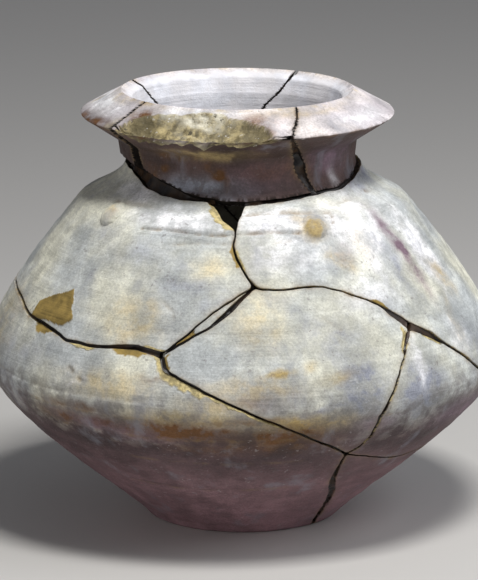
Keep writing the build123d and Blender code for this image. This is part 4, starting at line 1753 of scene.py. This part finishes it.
    def bare(self, graph: Graph, placed: dict[str, bpy.types.Node], colour: Socket) -> Socket:
        """Lays what breaks and old glue show over the slip's colour, with the break faces darkened as painted
        shade in the gaps.

        Args:
            graph: the material's graph.
            placed: the groups placed in this material.
            colour: the slip's colour.

        Returns:
            The whole colour.
        """
        coarse = placed["coarse"].outputs
        crumb = graph.tint(coarse["Grit"], darker(self.fresh, 0.42), self.fresh)
        crumb = graph.wash(coarse["Pits"], 0.8, crumb, self.grit)
        crust = graph.tint(placed["streak"].outputs["Fine"], darker(self.residue, 0.5), self.residue)
        crust = graph.wash(placed["cloud"].outputs["Small"], 0.5, crust, darker(self.residue, 1.7))
        # Painted shade: the break faces are dark, glue-stained clay darkened for the shade in the gaps.
        break_face_and_gap_shade = graph.tint(coarse["Grit"], darker(self.fracture_and_gap_shade, 0.4), self.fracture_and_gap_shade)
        layers = (
            (Mark.FRESH, crumb),
            (Mark.SPALL, self.flake(graph, placed)),
            (Mark.RESIDUE, crust),
            (Mark.FRACTURE, break_face_and_gap_shade),
        )
        for mark, over in layers:
            colour = graph.tint(graph.mask(mark), colour, over)
        return colour

    def height(self, graph: Graph, placed: dict[str, bpy.types.Node]) -> Socket:
        """The bump: a fine tooth, wheel streaks, and lumps where the clay is broken, in metres.

        Args:
            graph: the material's graph.
            placed: the groups placed in this material.

        Returns:
            The height.
        """
        broken = graph.math("ADD", graph.mask(Mark.FRESH), graph.mask(Mark.FRACTURE), clamp=True)
        broken = graph.math("ADD", broken, graph.mask(Mark.SPALL), clamp=True)
        tooth = graph.math("MULTIPLY", placed["grain"].outputs["Height"], self.tooth)
        rings = graph.math("MULTIPLY", placed["streak"].outputs["Fine"], self.streaks)
        lumps = graph.math("MULTIPLY", placed["coarse"].outputs["Height"], broken)
        lumps = graph.math("MULTIPLY", lumps, self.lumps)
        return graph.math("ADD", graph.math("ADD", tooth, rings), lumps)

    def material(self, groups: dict[str, Tree]) -> bpy.types.Material:
        """Builds the material.

        Args:
            groups: the shared node groups by name.

        Returns:
            The material.
        """
        material, graph, place = new_material(self.slot.value)
        placed = {
            "cloud": graph.group(groups["cloudy"], Vector=place),
            "streak": graph.group(groups["throwing_streaks"], Vector=place),
            "fleck": graph.group(groups["flecks"], Vector=place),
            "grain": graph.group(groups["clay_grain"], Vector=place, Size=900.0),
            "coarse": graph.group(groups["clay_grain"], Vector=place, Size=260.0),
            "rubble": graph.group(groups["clay_grain"], Vector=place, Size=110.0),
        }
        colour = self.bare(graph, placed, self.slip(graph, place, placed))
        dull = {"Value": placed["cloud"].outputs["Small"], "To Min": 0.62, "To Max": 0.86}
        rough = graph.add("ShaderNodeMapRange", dull).outputs["Result"]
        bump = {"Height": self.height(graph, placed), "Strength": 1.0, "Distance": 1.0}
        shader = graph.add(
            "ShaderNodeBsdfPrincipled",
            {
                "Base Color": colour,
                "Roughness": rough,
                "Normal": graph.add("ShaderNodeBump", bump).outputs[0],
                "Specular IOR Level": 0.35,
            },
        )
        graph.add("ShaderNodeOutputMaterial", {"Surface": shader.outputs[0]})
        return material


@dataclass(frozen=True)
class AdhesiveFinish:
    """Old brown adhesive, dark where it is thick and dusty where it is not."""

    slot: Slot = Slot.ADHESIVE
    deep: Colour = (0.007, 0.005, 0.005, 1.0)
    thin: Colour = (0.085, 0.042, 0.014, 1.0)

    def material(self, groups: dict[str, Tree]) -> bpy.types.Material:
        """Builds the material.

        Args:
            groups: the shared node groups by name.

        Returns:
            The material.
        """
        material, graph, place = new_material(self.slot.value)
        cloud = graph.group(groups["cloudy"], Vector=place)
        grain = graph.group(groups["clay_grain"], Vector=place, Size=500.0)
        share = graph.math("MULTIPLY", cloud.outputs["Wide"], cloud.outputs["Small"])
        colour = graph.wash(share, 0.8, self.deep, self.thin)
        gloss = {"Value": cloud.outputs["Small"], "To Min": 0.28, "To Max": 0.6}
        rough = graph.add("ShaderNodeMapRange", gloss)
        height = graph.math("MULTIPLY", grain.outputs["Height"], 0.0003)
        bump = graph.add("ShaderNodeBump", {"Height": height, "Strength": 1.0, "Distance": 1.0})
        shader = graph.add(
            "ShaderNodeBsdfPrincipled",
            {"Base Color": colour, "Roughness": rough.outputs["Result"], "Normal": bump.outputs[0]},
        )
        graph.add("ShaderNodeOutputMaterial", {"Surface": shader.outputs[0]})
        return material


# --------------------------------------------------------------------------- the whole jar


@dataclass
class MendedJar:
    """The jar's pieces in the order in which a mender lays them out."""

    vessel: Vessel

    STEPS = {
        "lower_left": 1.28 * MM,
        "lower_back": 1.5 * MM,
        "belly_back": 1.4 * MM,
        "shoulder_back_left": 1.4 * MM,
        "shoulder_back_right": 1.4 * MM,
        "shoulder_left": 0.85 * MM,
        "shoulder_right": 0.9 * MM,
    }

    def finishes(self) -> dict[Slot, bpy.types.Material]:
        """The material of each slot.

        Returns:
            The materials by slot.
        """
        makers = (cloudy, throwing_streaks, clay_grain, flecks)
        groups = {maker.__name__: maker() for maker in makers}
        body = SlipFinish(
            Slot.BODY,
            pale=(0.72, 0.715, 0.60, 1.0),
            cool=(0.51, 0.54, 0.545, 1.0),
            # Painted shade: the body's inside is near black, for the shade in the hollow of the jar.
            inside=(0.075, 0.062, 0.055, 1.0),
            # The low colour is part the real stain of the lower body and part painted shade under the belly;
            # the lighter foot colour is painted light, lifting the base out of its shade.
            low=(0.13, 0.083, 0.088, 1.0),
            foot=(0.40, 0.24, 0.265, 1.0),
            low_edge=(0.060, 0.095),
        )
        rim = SlipFinish(
            Slot.RIM,
            pale=(0.80, 0.74, 0.71, 1.0),
            cool=(0.64, 0.60, 0.63, 1.0),
            inside=(0.82, 0.83, 0.89, 1.0),
            # Painted shadow: below the lip (low_edge) the rim takes the dark brown low colour, the neck's own
            # tone darkened as the lip's shadow on the neck; foot matches it.
            low=(0.115, 0.073, 0.066, 1.0),
            foot=(0.115, 0.073, 0.066, 1.0),
            low_edge=(0.2044, 0.2060),
            ragged=0.0012,
            flecked=0.05,
            # Painted shade: the rim's break faces are near black, as the shade inside its open cracks.
            fracture_and_gap_shade=(0.022, 0.015, 0.010, 1.0),
        )
        return {
            Slot.BODY: body.material(groups),
            Slot.RIM: rim.material(groups),
            Slot.ADHESIVE: AdhesiveFinish().material(groups),
        }

    def dress(self, piece: bpy.types.Object, node: str, finish: bpy.types.Material) -> None:
        """Gives a piece its finish and lets it stand for its CAD node.

        Args:
            piece: the finished piece.
            node: the CAD node that it stands for.
            finish: its material.
        """
        piece.data.materials.append(finish)
        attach(piece, "root")
        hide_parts(node)
        LOG.info("%s: %d faces", piece.name, len(piece.data.polygons))

    def build(self) -> None:
        """Builds and dresses every piece."""
        finish = self.finishes()
        for node in self.vessel.body_names:
            sherd = BodySherd(node, step=self.STEPS.get(node, 1.0 * MM))
            self.dress(sherd.build(self.vessel), node, finish[Slot.BODY])
        for node in Vessel.RIM_SHERDS:
            self.dress(RimSherd(node).build(self.vessel), node, finish[Slot.RIM])
        for node in sorted(self.vessel.nodes):
            if node.startswith("glue_"):
                self.dress(Bead(node).build(self.vessel), node, finish[Slot.ADHESIVE])


# --------------------------------------------------------------------------- the studio


@dataclass
class Studio:
    """The camera, the lights and the pale floor."""

    distance: float = 2.2
    elevation: float = 13.0
    lens: float = 270.4
    look_at: tuple[float, float, float] = (-2.0 * MM, 0.0, 113.5 * MM)
    away: float = 1.5
    lamp_aim: float = 0.12
    floor_half: float = 6.0
    floor_colour: Colour = (0.56, 0.55, 0.53, 1.0)
    sky_colour: Colour = (0.9, 0.92, 1.0, 1.0)
    sky_strength: float = 0.16

    LAMPS = (
        ("key", 26.0, 66.0, 0.40, 21.0, (1.0, 0.985, 0.96, 1.0)),
        ("side", 70.0, 38.0, 0.8, 8.0, (0.93, 0.95, 1.0, 1.0)),
        ("front", -35.0, 12.0, 0.9, 3.5, (1.0, 0.97, 0.95, 1.0)),
    )

    def camera(self) -> None:
        """Looks at the front of the jar from a little above, through a long lens."""
        data = bpy.data.cameras.new("camera")
        data.lens = self.lens
        data.sensor_width = 36.0
        data.sensor_fit = "AUTO"
        camera = bpy.data.objects.new("camera", data)
        tilt = np.radians(self.elevation)
        x, y, z = self.look_at
        camera.location = (x, y - self.distance * np.cos(tilt), z + self.distance * np.sin(tilt))
        camera.rotation_euler = (np.pi / 2 - tilt, 0.0, 0.0)
        bpy.context.scene.collection.objects.link(camera)
        bpy.context.scene.camera = camera

    def light(
        self, name: str, azimuth: float, elevation: float, size: float, power: float, tone: Colour
    ) -> None:
        """Adds a square soft light that faces the jar.

        Args:
            name: the light's name.
            azimuth: degrees from the front towards the right.
            elevation: degrees above the jar.
            size: the square's side in metres.
            power: watts.
            tone: the light's colour.
        """
        data = bpy.data.lights.new(name, "AREA")
        data.size = size
        data.energy = power
        data.color = tone[:3]
        lamp = bpy.data.objects.new(name, data)
        tilt, turn = np.radians(elevation), np.radians(azimuth)
        lamp.location = (
            self.away * np.cos(tilt) * np.sin(turn),
            -self.away * np.cos(tilt) * np.cos(turn),
            self.lamp_aim + self.away * np.sin(tilt),
        )
        lamp.rotation_euler = (np.pi / 2 - tilt, 0.0, turn)
        bpy.context.scene.collection.objects.link(lamp)

    def floor(self) -> None:
        """Lays a plain pale floor under the jar."""
        mesh = bpy.data.meshes.new("floor")
        half = self.floor_half
        corners = [(-half, -half, 0.0), (half, -half, 0.0), (half, half, 0.0), (-half, half, 0.0)]
        mesh.from_pydata(corners, [], [(0, 1, 2, 3)])
        floor = bpy.data.objects.new("floor", mesh)
        bpy.context.scene.collection.objects.link(floor)
        material = bpy.data.materials.new("floor")
        material.use_nodes = True
        shader = material.node_tree.nodes["Principled BSDF"]
        shader.inputs["Base Color"].default_value = self.floor_colour
        shader.inputs["Roughness"].default_value = 0.55
        mesh.materials.append(material)

    def build(self) -> None:
        """Sets up the whole studio."""
        self.camera()
        for lamp in self.LAMPS:
            self.light(*lamp)
        self.floor()
        world = bpy.data.worlds.new("studio")
        world.use_nodes = True
        sky = world.node_tree.nodes["Background"]
        sky.inputs["Color"].default_value = self.sky_colour
        sky.inputs["Strength"].default_value = self.sky_strength
        bpy.context.scene.world = world
        bpy.context.scene.view_settings.view_transform = "Standard"


def main() -> None:
    """Builds the jar and its studio."""
    logging.basicConfig(level=logging.INFO, format="%(name)s %(message)s")
    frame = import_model()
    Studio().build()
    MendedJar(Vessel(frame["nodes"])).build()


if __name__ == "__main__":
    main()
